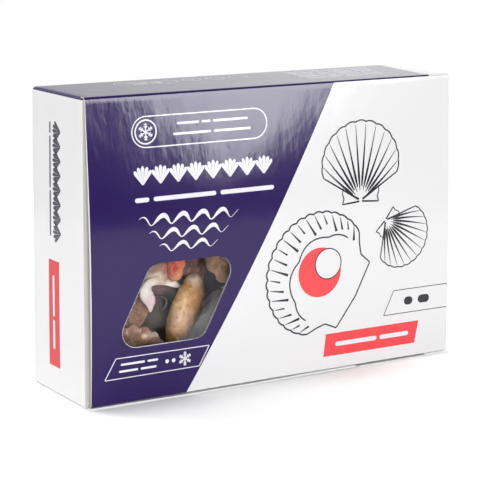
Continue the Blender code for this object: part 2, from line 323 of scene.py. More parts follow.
def top_print(paint):
    """Indigo on the top wall, up to a slanted end near its right side, and on the back's slanted
    field."""
    on_top = paint.z > HEIGHT - TOP_BAND
    before_end = paint.x < (paint.y - FRONT_Y) * TOP_PRINT_SLANT + TOP_PRINT_END
    on_back = paint.y > BACK_Y - BACK_LEAN - BACK_BAND
    field = paint.x > paint.z * BACK_FIELD_SLANT + BACK_FIELD_EDGE
    return on_top * before_end + (1 - on_top) * on_back * field


def flap_raw_and_shade(paint):
    """The dust flaps fold in from the ends and take the raw board's grey: partly their raw side,
    partly painted shade where the front panel stands off in front of them.
    """
    return paint.y < FRONT_Y + FOLD_RADIUS / 2


def rounded_axis(half, radius, flat):
    """Coordinates along one side of a box with rounded edges: even steps on the flat stretch,
    and radius x tan(angle) past it, which the rounding turns into even steps of arc."""
    bend = radius * np.tan(np.radians([15, 30, 45]))
    middle = np.linspace(-(half - radius), half - radius, flat)
    return np.concatenate([-(half - radius) - bend[::-1], middle, half - radius + bend])


def tray_sides():
    """Six grids of a box whose edges are rounded: each point of the sharp box is pulled to the
    inner box by the radius and pushed out again by that length. The result goes through skin.
    The front keeps only the two dust flaps."""
    half = np.array([FOOT_WIDTH, BACK_Y - FRONT_Y, HEIGHT]) / 2
    flap = half[0] - FLAP_WIDTH
    along = [rounded_axis(length, FOLD_RADIUS, steps) for length, steps in zip(half, TRAY_STEPS)]
    along[0] = np.sort(np.append(along[0], (-flap, flap)))
    along[2] = np.sort(np.append(along[2], (FLAP_EASE - half[2], half[2] - FLAP_EASE)))
    points, faces, count = [], [], 0
    for axis in range(3):
        first, second = [k for k in range(3) if k != axis]
        a, b = np.meshgrid(along[first], along[second], indexing="ij")
        for side in (-1, 1):
            sharp = np.zeros(a.shape + (3,))
            sharp[..., first], sharp[..., second], sharp[..., axis] = a, b, side * half[axis]
            core = np.clip(sharp, -(half - FOLD_RADIUS), half - FOLD_RADIUS)
            arm = sharp - core
            place = core + FOLD_RADIUS * arm / np.linalg.norm(arm, axis=-1, keepdims=True)
            quads = grid_faces(*a.shape)
            if axis == 1 and side == -1:
                middle = sharp.reshape(-1, 3)[quads].mean(axis=1)
                flaps = (abs(middle[:, 0]) > flap) & (abs(middle[:, 2]) < half[2] - FLAP_EASE)
                end_folds = abs(middle[:, 0]) > half[0] - FOLD_RADIUS
                wall_folds = abs(middle[:, 2]) > half[2] - FOLD_RADIUS
                quads = quads[flaps | end_folds | wall_folds]
            points.append(place.reshape(-1, 3))
            faces.append(quads + count)
            count += a.size
    u, v, w = (np.concatenate(points) / half).T
    return skin(u, v, (w + 1) / 2), np.concatenate(faces)


def thicken(piece, thickness, raw_slot=0):
    """Gives a sheet its thickness inwards, with its cut edge and inside in the raw slot, and keeps
    the cut edges crisp."""
    wall = piece.modifiers.new("board", "SOLIDIFY")
    wall.thickness = thickness
    wall.offset = -1
    wall.use_even_offset = True
    wall.material_offset = raw_slot
    wall.material_offset_rim = raw_slot
    solid = bpy.data.meshes.new_from_object(piece.evaluated_get(bpy.context.evaluated_depsgraph_get()))
    piece.modifiers.clear()
    piece.data = solid
    solid.shade_smooth()
    solid.set_sharp_from_angle(angle=math.radians(SHARP_ANGLE))


raw_board = raw_board_finish()
tray_board = printed_board("printed_tray", top_print, 1.0, flap_raw_and_shade)
tray = mesh_piece("tray", *tray_sides(), [tray_board, raw_board], weld=WELD, outward=True)
thicken(tray, BOARD, raw_slot=1)
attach(tray, "root")
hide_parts("carton")

# ---------------------------------------------------------------------------------------------
# The front panel: one sheet with the top wall, folded over the tray's open front and tucked in
# at the foot. It springs forward in a shallow bow, more at the left, and the die cuts a leaning
# window with round corners out of its indigo field.

LID_FOLD_RADIUS = 1.3 * MM
TUCK_FOLD_RADIUS = 0.5 * MM
LID_INSET = 0.3 * MM
LID_INSET_GROWTH = 1.6 * MM
LID_RISE = 0.2 * MM
FIT_GAP = 0.9 * MM
TUCK_LENGTH = 14 * MM
LID_LAP = 3 * MM
PANEL_HIGH = HEIGHT + LID_RISE - LID_FOLD_RADIUS
PANEL_LOW = BOARD + FIT_GAP + TUCK_FOLD_RADIUS
WINDOW_FOOT = 31.2 * MM
WINDOW_TOP = 75.1 * MM
WINDOW_LEFT = -103.9 * MM
WINDOW_WIDTH = 54.5 * MM
WINDOW_SLANT = 0.52
WINDOW_CORNER = 8.5 * MM
FIELD_EDGE = -60.4 * MM
FIELD_SLANT = 0.584
FIELD_BOW = 2.9 * MM
FIELD_TOP_BAND = 0.6 * MM
PANEL_RAYS = 176
PANEL_RINGS = 34
ON_EDGE = 0.001 * MM
FOLD_STEPS = 8
STRIP_STEPS = 5


def wall_x(side, z):
    """Where the left (-1) or right (1) end wall stands at a height."""
    rise = z / HEIGHT
    return TOP_SHIFT * rise + side * (FOOT_WIDTH + (TOP_WIDTH - FOOT_WIDTH) * rise) / 2


def bow(x, z):
    """How far the panel springs forward: part of a sine wave down its height, times an amount
    that falls off as a parabola from left to right."""
    fall = np.clip((PANEL_HIGH - z) / (PANEL_HIGH - PANEL_LOW), 0, 1)
    across = (x + FOOT_WIDTH / 2) / FOOT_WIDTH
    amount = LID_BOW_RIGHT + (LID_BOW_LEFT - LID_BOW_RIGHT) * (1 - across) ** 2
    return amount * np.sin(LID_BOW_TURN * np.pi * fall)


def front_y(x, z):
    """Where the panel's outside stands: off the tray's front by its gap, half its board and its
    bow."""
    return FRONT_Y - LID_STANDOFF - BOARD / 2 - bow(x, z)


def rounded_outline(corners, radius, steps=12):
    """A closed outline with each corner as an arc that touches both sides. The arc's centre lies
    on the corner's bisector, at the radius over the sine of half its angle."""
    corners = np.asarray(corners, float)
    parts = []
    for before, corner, after in zip(np.roll(corners, 1, axis=0), corners, np.roll(corners, -1, axis=0)):
        back = (before - corner) / np.linalg.norm(before - corner)
        ahead = (after - corner) / np.linalg.norm(after - corner)
        half = math.acos(np.clip(back @ ahead, -1, 1)) / 2
        middle = (back + ahead) / np.linalg.norm(back + ahead)
        centre = corner + middle * radius / math.sin(half)
        turn = np.linspace(-1, 1, steps)[:, None] * (math.pi / 2 - half)
        across = (ahead - back) / np.linalg.norm(ahead - back)
        parts.append(centre + radius * (np.sin(turn) * across - np.cos(turn) * middle))
    return np.concatenate(parts)


def even_steps(points, count, closed=True):
    """The same line at even steps along its length."""
    points = np.asarray(points, float)
    if closed:
        points = np.concatenate([points, points[:1]])
    length = np.concatenate([[0], np.cumsum(np.linalg.norm(np.diff(points, axis=0), axis=1))])
    at = np.linspace(0, length[-1], count, endpoint=not closed)
    return np.stack([np.interp(at, length, points[:, k]) for k in range(points.shape[1])], axis=1)


def window_corners(grow=0.0):
    """The window's four sharp corners: a parallelogram that leans right by its slant a metre up."""
    lean = WINDOW_SLANT * (WINDOW_TOP - WINDOW_FOOT)
    low, high = WINDOW_LEFT, WINDOW_LEFT + lean
    return [(low - grow, WINDOW_FOOT - grow), (low + WINDOW_WIDTH + grow, WINDOW_FOOT - grow),
            (high + WINDOW_WIDTH + grow, WINDOW_TOP + grow), (high - grow, WINDOW_TOP + grow)]


def lid_edge(side, z):
    """The panel's cut side edge, which leaves the fold a little further the lower it is."""
    fall = (PANEL_HIGH - z) / (PANEL_HIGH - PANEL_LOW)
    return wall_x(side, z) - side * (LID_INSET + LID_INSET_GROWTH * fall)


def panel_rim(centre, directions):
    """Where rays from the centre meet the panel's four edges: the least of the four distances."""
    with np.errstate(divide="ignore", invalid="ignore"):
        reach = [np.where(directions[:, 1] * side > 0, (edge - centre[1]) / directions[:, 1], np.inf)
                 for side, edge in ((-1, PANEL_LOW), (1, PANEL_HIGH))]
        for side in (-1, 1):
            foot, head = lid_edge(side, PANEL_LOW), lid_edge(side, PANEL_HIGH)
            lean = (head - foot) / (PANEL_HIGH - PANEL_LOW)
            along = directions[:, 0] - lean * directions[:, 1]
            gap = foot + lean * (centre[1] - PANEL_LOW) - centre[0]
            reach.append(np.where(along * side > 0, gap / along, np.inf))
    return np.min(reach, axis=0)


def front_panel_grids():
    """The panel's outside: a ring of rays from the window's outline to the panel's edges, a fold
    strip over the top and a tuck strip under the foot. The strips take the ring's own edge points."""
    outline = even_steps(rounded_outline(window_corners(), WINDOW_CORNER), PANEL_RAYS)
    centre = np.mean(window_corners(), axis=0)
    arm = outline - centre
    rim = centre + arm * panel_rim(centre, arm)[:, None]
    for side in (-1, 1):
        for z in (PANEL_LOW, PANEL_HIGH):
            corner = np.array([lid_edge(side, z), z])
            rim[np.argmin(np.linalg.norm(rim - corner, axis=1))] = corner
    share = np.linspace(0, 1, PANEL_RINGS)[:, None, None]
    ring = (outline + share * (rim - outline))[:, ::-1]
    grids = [np.stack([ring[..., 0], front_y(ring[..., 0], ring[..., 1]), ring[..., 1]], axis=-1)]
    for high in (True, False):
        edge = PANEL_HIGH if high else PANEL_LOW
        reach = LID_FOLD_RADIUS if high else TUCK_FOLD_RADIUS
        x = np.sort(rim[abs(rim[:, 1] - edge) < ON_EDGE][:, 0])
        face = front_y(x, np.full_like(x, edge))
        turn = np.radians(np.linspace(0, 90, FOLD_STEPS))
        inward = reach * (1 - np.cos(turn))
        rise = reach * np.sin(turn)
        length = LID_LAP if high else TUCK_LENGTH
        inward = np.append(inward, np.linspace(reach, reach + length, STRIP_STEPS + 1)[1:])
        rise = np.append(rise, np.full(STRIP_STEPS, reach))
        height = edge + (rise if high else -rise)
        strip = np.stack(np.broadcast_arrays(x, face + inward[:, None], height[:, None]), axis=-1)
        grids.append(strip if high else strip[::-1])
    return grids


def joined(grids, wraps=()):
    """One array of points and one of quads from several grids."""
    points, faces, count = [], [], 0
    for k, grid in enumerate(grids):
        points.append(grid.reshape(-1, 3))
        faces.append(grid_faces(*grid.shape[:2], wrap=k in wraps) + count)
        count += grid.shape[0] * grid.shape[1]
    return np.concatenate(points), np.concatenate(faces)


def front_print(paint):
    """Indigo left of the slanted edge down the front, which swells to the right by a parabola up
    its height, and the top wall's field past the fold."""
    on_top = paint.z > HEIGHT - FIELD_TOP_BAND
    before_end = paint.x < (paint.y - FRONT_Y) * TOP_PRINT_SLANT + TOP_PRINT_END
    share = paint.z / HEIGHT
    field = paint.x < paint.z * FIELD_SLANT + FIELD_EDGE + share * (1 - share) * (4 * FIELD_BOW)
    return on_top * before_end + (1 - on_top) * field


front_board = printed_board("printed_front", front_print, 1.1)
front_panel = mesh_piece("front_panel", *joined(front_panel_grids(), wraps=(0,)), [front_board, raw_board],
                         weld=WELD)
thicken(front_panel, BOARD, raw_slot=1)
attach(front_panel, "root")
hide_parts("carton")

# The foot lip: the edge of the bottom wall's glued flap, which runs on in front of the tuck in
# two lengths, with a dark slit between it and the panel's foot. Its rows are x, foot and top.

LIP_LENGTHS = (
    [(-118.4, 0.05, 1.15), (-90, 0.05, 1.1), (-62, 0.05, 0.85), (-10, 0.1, 0.95), (25, 0.4, 1.3),
     (51, 0.5, 1.4)],
    [(53.5, 0.05, 0.8), (78, 0.05, 0.8), (101, 0.05, 0.9)])
LIP_REACH = 3.4 * MM
LIP_DEPTH = 3 * MM
LIP_ROUND = 0.3
LIP_END = 0.2 * MM
LIP_END_SIZE = 0.8
LIP_EVEN = 2 * MM
LIP_STEPS = 60


def lip_grids():
    """Each length is a rounded slab: a rounded rectangle swept along X, drawn in at its ends."""
    near, far = FRONT_Y - LIP_REACH, FRONT_Y - LIP_REACH + LIP_DEPTH
    grids = []
    for rows in LIP_LENGTHS:
        rows = np.array(rows) * MM
        left, right = rows[0, 0], rows[-1, 0]
        x = np.concatenate([[left, left, left + LIP_END],
                            np.linspace(left + LIP_EVEN, right - LIP_EVEN, LIP_STEPS),
                            [right - LIP_END, right, right]])
        size = np.concatenate([[0, LIP_END_SIZE], np.ones(len(x) - 4), [LIP_END_SIZE, 0]])
        rings = []
        for place, low, high, share in zip(x, np.interp(x, rows[:, 0], rows[:, 1]),
                                           np.interp(x, rows[:, 0], rows[:, 2]), size):
            section = rounded_outline([(near, low), (far, low), (far, high), (near, high)],
                                      LIP_ROUND * (high - low), 5)
            middle = section.mean(axis=0)
            section = middle + share * (section - middle)
            rings.append(np.column_stack([np.full(len(section), place), section]))
        grids.append(np.array(rings))
    return grids


plain_board = printed_board("plain_board", lambda paint: paint.z > HEIGHT, 0.5)
foot_lip = mesh_piece("foot_lip", *joined(lip_grids(), wraps=(0, 1)), [plain_board],
                      weld=WELD, outward=True)
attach(foot_lip, "root")
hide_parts("carton")

# ---------------------------------------------------------------------------------------------
# The print over the board's two grounds: thin layers of ink that follow each wall. Lines, bars,
# discs and labels are all strokes, a path with a width of its own at each point.

INK = 0.04 * MM
LIFT = 0.06 * MM
OVERPRINT = 0.05 * MM
LEAST_WIDTH = 0.02
INK_ROUGHNESS = 0.09


def stroke(path, half_width, closed=False, across=2):
    """A path, (n, 2), spread to both sides along its normal by its half width."""
    path = np.asarray(path, float)
    if closed:
        along = np.roll(path, -1, axis=0) - np.roll(path, 1, axis=0)
    else:
        along = np.gradient(path, axis=0)
    along = along / np.linalg.norm(along, axis=1, keepdims=True)
    normal = np.stack([-along[:, 1], along[:, 0]], axis=1)
    normal = normal * np.broadcast_to(half_width, len(path))[:, None]
    grid = path[:, None] + np.linspace(1, -1, across + 1)[None, :, None] * normal[:, None]
    return np.concatenate([grid, grid[:1]]) if closed else grid


def bar(start, end, half_width, steps=14):
    """A line with round ends: its half width falls to nothing on a quarter circle at each end."""
    start, end = np.asarray(start, float), np.asarray(end, float)
    length = np.linalg.norm(end - start)
    cap = half_width * (1 - np.cos(np.linspace(0, np.pi / 2, 7)))
    at = np.concatenate([cap, np.linspace(half_width, length - half_width, steps)[1:-1], length - cap[::-1]])
    depth = np.maximum(0, half_width - np.minimum(at, length - at))
    width = np.maximum(np.sqrt(np.maximum(half_width ** 2 - depth ** 2, 0)), LEAST_WIDTH * half_width)
    return stroke(start + (end - start) * (at / length)[:, None], width)


def bars(start, end, half_width, words, gap=1.6):
    """A line of text as plain bars, one a word, in proportion to their given lengths. The gap
    is counted in half widths."""
    start, end = np.asarray(start, float), np.asarray(end, float)
    length = np.linalg.norm(end - start)
    step = (length - gap * half_width * (len(words) - 1)) / sum(words)
    at, made = 0.0, []
    for word in words:
        first, last = (start + (end - start) * place / length for place in (at, at + word * step))
        made.append(bar(first, last, half_width))
        at += word * step + gap * half_width
    return made


TEXT_WORDS = ((7, 4, 9, 5), (5, 8, 6, 6), (9, 3, 7, 6))


def paragraph(count, start, end, half_width, words=TEXT_WORDS):
    """Lines of bars over one another, whose start and end are worked out from the line's number,
    and whose words repeat every three lines."""
    return [grid for k in range(count) for grid in bars(start(k), end(k), half_width, words[k % len(words)])]


def circle(centre, radius, count=48):
    """Points at even angles round a centre."""
    turn = np.linspace(0, 2 * np.pi, count, endpoint=False)
    return np.asarray(centre) + radius * np.stack([np.cos(turn), np.sin(turn)], axis=1)


def disc(centre, radius):
    """A filled disc: a level stroke whose half width is a circle's height at each place."""
    reach = np.cos(np.linspace(np.pi, 0, 25)) * radius
    width = np.sqrt(np.maximum(radius ** 2 - reach ** 2, (LEAST_WIDTH * radius) ** 2))
    return stroke(np.asarray(centre) + np.stack([reach, 0 * reach], axis=1), width, across=6)


def patch(corners, steps=24):
    """A filled four-sided field, ruled between its lower and its upper edge."""
    a, b, c, d = np.asarray(corners, float)
    share = np.linspace(0, 1, steps)[:, None]
    lower, upper = a + (b - a) * share, d + (c - d) * share
    rise = np.linspace(0, 1, 5)[None, :, None]
    return lower[:, None] + (upper - lower)[:, None] * rise


def turned(angle, radius):
    """Points at an angle from straight up, clockwise, and a radius."""
    return np.stack([radius * np.sin(angle), radius * np.cos(angle)], axis=-1)


FAN_FALL = 0.64


def fan_edge(share, length, spread, ribs, depth=0.018):
    """The rim of a scallop's fan, share from -1 to 1 across it: the radius falls off as a power
    of the cosine, and a small arch stands over the gap between every two ribs."""
    angle = share * spread
    arches = abs(np.sin(np.pi * ribs * (share + 1) / 2))
    return turned(angle, length * np.cos(angle) ** FAN_FALL * (1 - depth + depth * arches))


def placed(points, hinge, aim):
    """Turns points clockwise by the aim and sets them on the hinge."""
    turn = np.array([[math.cos(aim), -math.sin(aim)], [math.sin(aim), math.cos(aim)]])
    return points @ turn + np.asarray(hinge)


# A drawn shell's proportions, in shares of its length: where ribs start and end, by how much
# every other one is shorter, how far they bend, and the outline of an ear.

RIB_ROOT, RIB_TIP = 0.13, 0.97
RIB_STAGGER = 0.05
RIB_BEND = 0.03
EAR = ((0.02, -0.01), (0.27, -0.03), (0.25, 0.04), (0.275, 0.1), (0.26, 0.17))


def shell_figure(hinge, aim, length, spread, ribs, line):
    """A scallop drawn in line: a rim of small arches, ribs that thin out towards it, two straight
    sides and an ear each side of the hinge."""
    rim = fan_edge(np.linspace(-1, 1, 24 * ribs + 1), length, spread, ribs)
    shapes = [stroke(placed(rim, hinge, aim), line)]
    for rib in range(1, ribs):
        share = 2 * rib / ribs - 1
        tip = fan_edge(np.array([share]), length, spread, ribs)[0]
        along = np.linspace(RIB_ROOT + RIB_STAGGER * (rib % 2), RIB_TIP, 20)[:, None]
        bend = turned(np.array([math.pi / 2]), RIB_BEND * length * share)[0] * np.sin(np.pi * along)
        width = line * (2.5 - 2.2 * along[:, 0]) * np.minimum(1, 5 * (along[:, 0] - 0.1))
        shapes.append(stroke(placed(tip * along + bend, hinge, aim), width))
    for side in (-1, 1):
        corner = fan_edge(np.array([side]), length, spread, ribs)[0]
        along = np.linspace(0.05, 1, 16)[:, None]
        shapes.append(stroke(placed(corner * along, hinge, aim), line * (1.6 - 0.7 * along[:, 0])))
        ear = even_steps(np.array(EAR) * [side * length, length], 30, closed=False)
        shapes.append(stroke(placed(ear, hinge, aim), line * np.linspace(1.3, 0.7, 30)))
    return shapes


INNER_RIM = 0.735
INNER_SPREAD = 0.8
TICK_ROOT, TICK_TIP = 0.78, 0.975
TICK_STAGGER = 0.04
OPEN_EAR = ((0.44, 0.20), (0.36, 0.13), (0.34, 0.0), (0, -0.03))


def open_shell_figure(hinge, aim, length, spread, ribs, line):
    """A shell seen from inside: a double rim with short strokes between, an ear each side, and
    an empty middle for the scallop."""
    rim = fan_edge(np.linspace(-1, 1, 16 * ribs + 1), length, spread, ribs)
    inner = fan_edge(np.linspace(-INNER_SPREAD, INNER_SPREAD, 120), length * INNER_RIM, spread, 4, 0.05)
    shapes = [stroke(placed(rim, hinge, aim), line * 1.1), stroke(placed(inner, hinge, aim), line)]
    for rib in range(1, ribs):
        share = 2 * rib / ribs - 1
        tip = fan_edge(np.array([share]), length, spread, ribs)[0]
        along = np.linspace(TICK_ROOT + TICK_STAGGER * (rib % 3), TICK_TIP, 12)[:, None]
        width = line * (1.9 - 1.5 * (along[:, 0] - TICK_ROOT) / 0.2)
        shapes.append(stroke(placed(tip * along, hinge, aim), width))
    for side in (-1, 1):
        corner = fan_edge(np.array([side]), length, spread, ribs)[0] / length
        ear = np.array([corner * [side, 1], *OPEN_EAR])
        ear = even_steps(ear * [side * length, length], 40, closed=False)
        shapes.append(stroke(placed(ear, hinge, aim), line))
    return shapes


CRESCENT_BITE = 0.62
CRESCENT_SHIFT = 0.5


def crescent(centre, radius, aim):
    """A fat crescent: the area between a circle's far side and a smaller circle set off from its
    middle, ruled from tip to tip."""
    shift_x = CRESCENT_SHIFT * radius
    small = CRESCENT_BITE * radius
    tip_x = (radius ** 2 - small ** 2 + shift_x ** 2) / (2 * shift_x)
    tip_z = math.sqrt(radius ** 2 - tip_x ** 2)
    outer_turn = math.atan2(tip_z, tip_x)
    inner_turn = math.atan2(tip_z, tip_x - shift_x)
    share = np.linspace(0, 1, 49)
    outer = outer_turn + share * (2 * np.pi - 2 * outer_turn)
    inner = inner_turn + share * (2 * np.pi - 2 * inner_turn)
    far = radius * np.stack([np.cos(outer), np.sin(outer)], axis=1)
    near = small * np.stack([np.cos(inner), np.sin(inner)], axis=1) + [shift_x, 0]
    rise = np.linspace(0, 1, 7)[None, :, None]
    return placed(far[:, None] + (near - far)[:, None] * rise, centre, aim)


PETAL_ANGLES = (-32, -16, 0, 16, 32)
PETAL_WIDTH = 0.1
PETAL_SHOULDER = 0.8
PETAL_TIP = 0.2


def little_fans(start, end, size, count):
    """A row of small filled fans between two points, each of five petals that meet at its foot."""
    start, end = np.asarray(start, float), np.asarray(end, float)
    along = (end - start) / np.linalg.norm(end - start)
    aim = -math.atan2(along[1], along[0])
    made = []
    for fan in range(count):
        foot = start + (end - start) * (fan + 0.5) / count
        for angle in np.radians(PETAL_ANGLES):
            reach = size * (0.4 + 0.6 * math.cos(angle))
            at = np.linspace(0.06, 1, 22)
            dome = np.sqrt(np.maximum(1 - ((at - PETAL_SHOULDER) / PETAL_TIP) ** 2, 0))
            width = size * PETAL_WIDTH * dome
            width = np.where(at < PETAL_SHOULDER, size * PETAL_WIDTH * at / PETAL_SHOULDER, width)
            made.append(stroke(placed(turned(np.full(22, angle), reach * at), foot, aim),
                               np.maximum(width, 0.01 * size)))
    return made


BRANCHES = ((0.45, 0.3), (0.72, 0.26))
BRANCH_TURN = math.radians(48)
BRANCH_LINE = 0.85


def snowflake(centre, radius, line):
    """Six arms, each with two pairs of side branches."""
    made = []
    for arm in range(6):
        angle = math.radians(60 * arm)
        made.append(bar(centre, centre + turned(angle, radius), line, 6))
        for at, reach in BRANCHES:
            for side in (-1, 1):
                root = centre + turned(angle, radius * at)
                branch = turned(angle + side * BRANCH_TURN, radius * reach)
                made.append(bar(root, root + branch, line * BRANCH_LINE, 4))
    return made


def on_front(x, z, lift):
    """The front panel, by X and height."""
    return np.stack([x, front_y(x, z) - lift, z], axis=-1)


def on_end(side):
    """An end wall, by depth behind the tray's front and height."""
    def place(depth, z, lift):
        v = 2 * depth / (BACK_Y - FRONT_Y) - 1
        face = skin(np.full_like(z, side), v, z / HEIGHT)
        return face + np.array([side * lift, 0, 0])
    return place


def on_top(x, depth, lift):
    """The top wall, by X and depth behind the tray's front."""
    return np.stack([x, FRONT_Y + depth, np.full_like(x, HEIGHT + lift)], axis=-1)


def on_back(x, z, lift):
    """The back wall, by X and height."""
    w = z / HEIGHT
    u = (x - TOP_SHIFT * w) / ((FOOT_WIDTH + (TOP_WIDTH - FOOT_WIDTH) * w) / 2)
    return skin(u, np.ones_like(u), w) + np.array([0, lift, 0])


def ink_finish(name, colour, gloss=1.1):
    """Ink on coated board, a little uneven, with the board's relief and varnish."""
    paint = Paint(name, Specular_IOR_Level=gloss / 2)
    cloud = paint.noise(90, 3)
    return paint.wear(colour=paint.mix(cloud, scaled(colour, 0.95), colour),
                      roughness=INK_ROUGHNESS + cloud * VARNISH_UNEVEN,
                      relief=(board_relief(paint), RELIEF_DEPTH))


def facing(grid):
    """The way that a grid of points faces: the sum of its quads' normals."""
    return np.cross(grid[:-1, 1:] - grid[:-1, :-1], grid[1:, :-1] - grid[:-1, :-1]).sum(axis=(0, 1))


def print_piece(name, shapes, drape, outward, finish, lift=LIFT):
    """Lays flat shapes (millimetres) on a wall, turns each grid to face outwards and gives the ink
    its thickness."""
    grids = []
    for shape in shapes:
        place = drape(shape[..., 0] * MM, shape[..., 1] * MM, lift)
        grids.append(place if facing(place) @ np.asarray(outward) > 0 else place[:, ::-1])
    piece = mesh_piece(name, *joined(grids), [finish])
    thicken(piece, INK)
    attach(piece, "root")
    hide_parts("carton")


WHITE_INK = (0.88, 0.87, 0.92)
white_ink = ink_finish("white_ink", WHITE_INK)
top_ink = ink_finish("top_ink", WHITE_INK, gloss=1.0)
coral_ink = ink_finish("coral_ink", (0.95, 0.075, 0.085))
end_coral_ink = ink_finish("end_coral_ink", (0.78, 0.055, 0.06), gloss=0.5)
line_ink = ink_finish("line_ink", (0.035, 0.032, 0.04))
end_ink = ink_finish("end_ink", (0.055, 0.05, 0.068))

FRONT, LEFT, RIGHT, TOP, BACK = (0, -1, 0), (-1, 0, 0), (1, 0, 0), (0, 0, 1), (0, 1, 0)

PILL_CENTRE = np.array([-82.6, 145.3])
PILL_RADIUS = 8.1


def pill(left, right, radius, line):
    """The outline of a bar with round ends: half a circle, a straight side, and again."""
    turn = np.linspace(-np.pi / 2, np.pi / 2, 20)
    half = np.stack([np.cos(turn), np.sin(turn)], axis=1) * radius
    path = np.concatenate([half + right, -half + left])
    return stroke(even_steps(path, 150), line, closed=True)


WAVE_LEAN = 0.3
WAVE_START = 0.6
BRUSH_WIDTH = 0.75
BRUSH_SWELL = 0.45


def brushed_wave(start, end, height, waves, line):
    """A wave drawn with a brush: a sine line, thick on its crests, thin in its troughs and drawn
    out to a point at both ends."""
    share = np.linspace(0, 1, 40 * waves)
    phase = share * waves * 2 * np.pi
    x = start[0] + (end[0] - start[0]) * share + WAVE_LEAN * height * np.sin(phase)
    z = start[1] + (end[1] - start[1]) * share + height * np.sin(phase + WAVE_START)
    ends = np.minimum(1, 5 * np.minimum(share, 1 - share) + 0.06)
    width = line * ends * (BRUSH_WIDTH + BRUSH_SWELL * np.sin(phase + WAVE_START))
    return stroke(np.stack([x, z], axis=1), width)


# Where the painted highlight along the window's cut lies, and its half widths along the outline.
RIM_OUTSIDE = 0.2 * MM
RIM_PLACES = (0, 0.06, 0.32, 0.38, 0.56, 0.64, 0.92, 1)
RIM_HALF_WIDTHS = (0.02, 0.07, 0.07, 0.13, 0.13, 0.05, 0.05, 0.02)


def window_edge_highlight():
    """A white line along the window's cut, a painted highlight for the cut edge as it catches the
    light: faint down the left side, widest along the foot, thin up the right side and gone at the top."""
    outline = rounded_outline(window_corners(RIM_OUTSIDE), WINDOW_CORNER + RIM_OUTSIDE) / MM
    path = even_steps(np.roll(outline, 7, axis=0)[:40], 200, closed=False)
    return stroke(path, np.interp(np.linspace(0, 1, 200), RIM_PLACES, RIM_HALF_WIDTHS))


SIDE_LINE = 0.11
SIDE_LINE_SWELL = 0.15


def panel_edge_highlight():
    """A white line down the panel's left cut edge, widest halfway, where the panel bows out: a
    painted highlight for the cut edge as it catches the light.
    """
    fall = np.linspace(0, 1, 80)
    z = PANEL_HIGH + (PANEL_LOW - PANEL_HIGH) * fall
    half_width = SIDE_LINE + SIDE_LINE_SWELL * np.sin(np.pi * fall)
    return stroke(np.stack([lid_edge(-1, z) / MM + half_width, z / MM], axis=1), half_width)


# The front's white print, ending with two painted highlights along cut edges.
front_white = [
    pill(PILL_CENTRE, np.array([-16.5, 145.3]), PILL_RADIUS, 0.32),
    stroke(circle(PILL_CENTRE, 6.2), 0.4, closed=True),
    *snowflake(PILL_CENTRE, 4.6, 0.34),
    *bars((-64, 148.6), (-20.5, 148.6), 0.62, (5, 2, 8), 2.6),
    *bars((-66.4, 143.1), (-18.5, 143.1), 0.62, (9, 9), 2.6),
    *little_fans((-90.4, 117.2), (-5.2, 117.2), 10.4, 8),
    *bars((-90, 109.7), (-4.2, 109.7), 1.2, (2, 9, 8), 2.2),
    brushed_wave((-88, 98.2), (-27, 98.2), 2.4, 5, 1.05),
    brushed_wave((-82, 90.4), (-33, 90.4), 2.2, 4, 0.95),
    brushed_wave((-76, 83.2), (-40, 83.2), 2.0, 3, 0.85),
    stroke(even_steps([(-102.4, 26.4), (-45.4, 26.2), (-51.6, 15.4), (-109, 15.2)], 220), 0.24, closed=True),
    *bars((-99.5, 22.7), (-77, 22.7), 0.6, (9, 4), 2.6),
    *bars((-100.5, 19.0), (-78, 19.0), 0.6, (6, 5), 2.6),
    *[disc((-71.5 + 4 * k, 20.8), 1.1) for k in range(2)],
    *snowflake(np.array([-60.5, 20.8]), 4.0, 0.42),
    panel_edge_highlight(),
    window_edge_highlight(),
]
print_piece("front_white_print_and_highlights", front_white, on_front, FRONT, white_ink)

ROE_CENTRE = np.array([26.2, 58.6])
ROE_RADIUS = 14.2
ROE_AIM = math.radians(-38)
MEAT_CENTRE = placed(np.array([CRESCENT_SHIFT * ROE_RADIUS, 0]), ROE_CENTRE, ROE_AIM)

front_lines = [
    *shell_figure((53.5, 97), 0, 45.5, math.radians(60), 13, 0.4),
    *open_shell_figure((49, 43), math.radians(-58), 62, math.radians(64), 22, 0.42),
    *shell_figure((71, 84), math.radians(131), 33, math.radians(58), 13, 0.36),
    stroke(circle(MEAT_CENTRE, CRESCENT_BITE * ROE_RADIUS - 0.1), 0.32, closed=True),
    bar((116.3, 42), (77.4, 42), 0.22, 40),
    bar((77.5, 42.1), (70.7, 27.9), 0.22, 16),
    bar((70.6, 28), (115.8, 28), 0.22, 40),
    *bars((85, 35), (103, 35), 2.4, (3, 4)),
]
print_piece("front_line_print", front_lines, on_front, FRONT, line_ink)

FRONT_LABEL = [(29.6, 9), (93.2, 9), (95.8, 22.2), (31, 22.2)]
front_coral = [patch(FRONT_LABEL), crescent(ROE_CENTRE, ROE_RADIUS, ROE_AIM)]
print_piece("front_coral_print", front_coral, on_front, FRONT, coral_ink, OVERPRINT)
front_label = bars((37.6, 15.6), (88.6, 15.6), 1.3, (7, 5))
print_piece("front_label_print", front_label, on_front, FRONT, white_ink, LIFT + OVERPRINT)


def end_design():
    """The same design on both ends, running down the wall: a row of fans, a thin line of words
    and a coral label."""
    words = [*little_fans((27, 148), (26.6, 86), 10.4, 8), *bars((40.6, 148.6), (40.2, 87), 0.75, (2, 9, 8))]
    coral = [patch([(30.2, 15.4), (43.6, 15.4), (42.8, 74.2), (29.6, 74.2)])]
    white = bars((36.8, 66), (37, 25), 1.1, (7, 5))
    return words, coral, white


for side, name, outward in ((-1, "left", LEFT), (1, "right", RIGHT)):
    words, coral, white = end_design()
    print_piece(f"{name}_end_print", words, on_end(side), outward, end_ink)
    print_piece(f"{name}_end_coral_print", coral, on_end(side), outward, end_coral_ink, OVERPRINT)
    print_piece(f"{name}_end_label_print", white, on_end(side), outward, white_ink, LIFT + OVERPRINT)

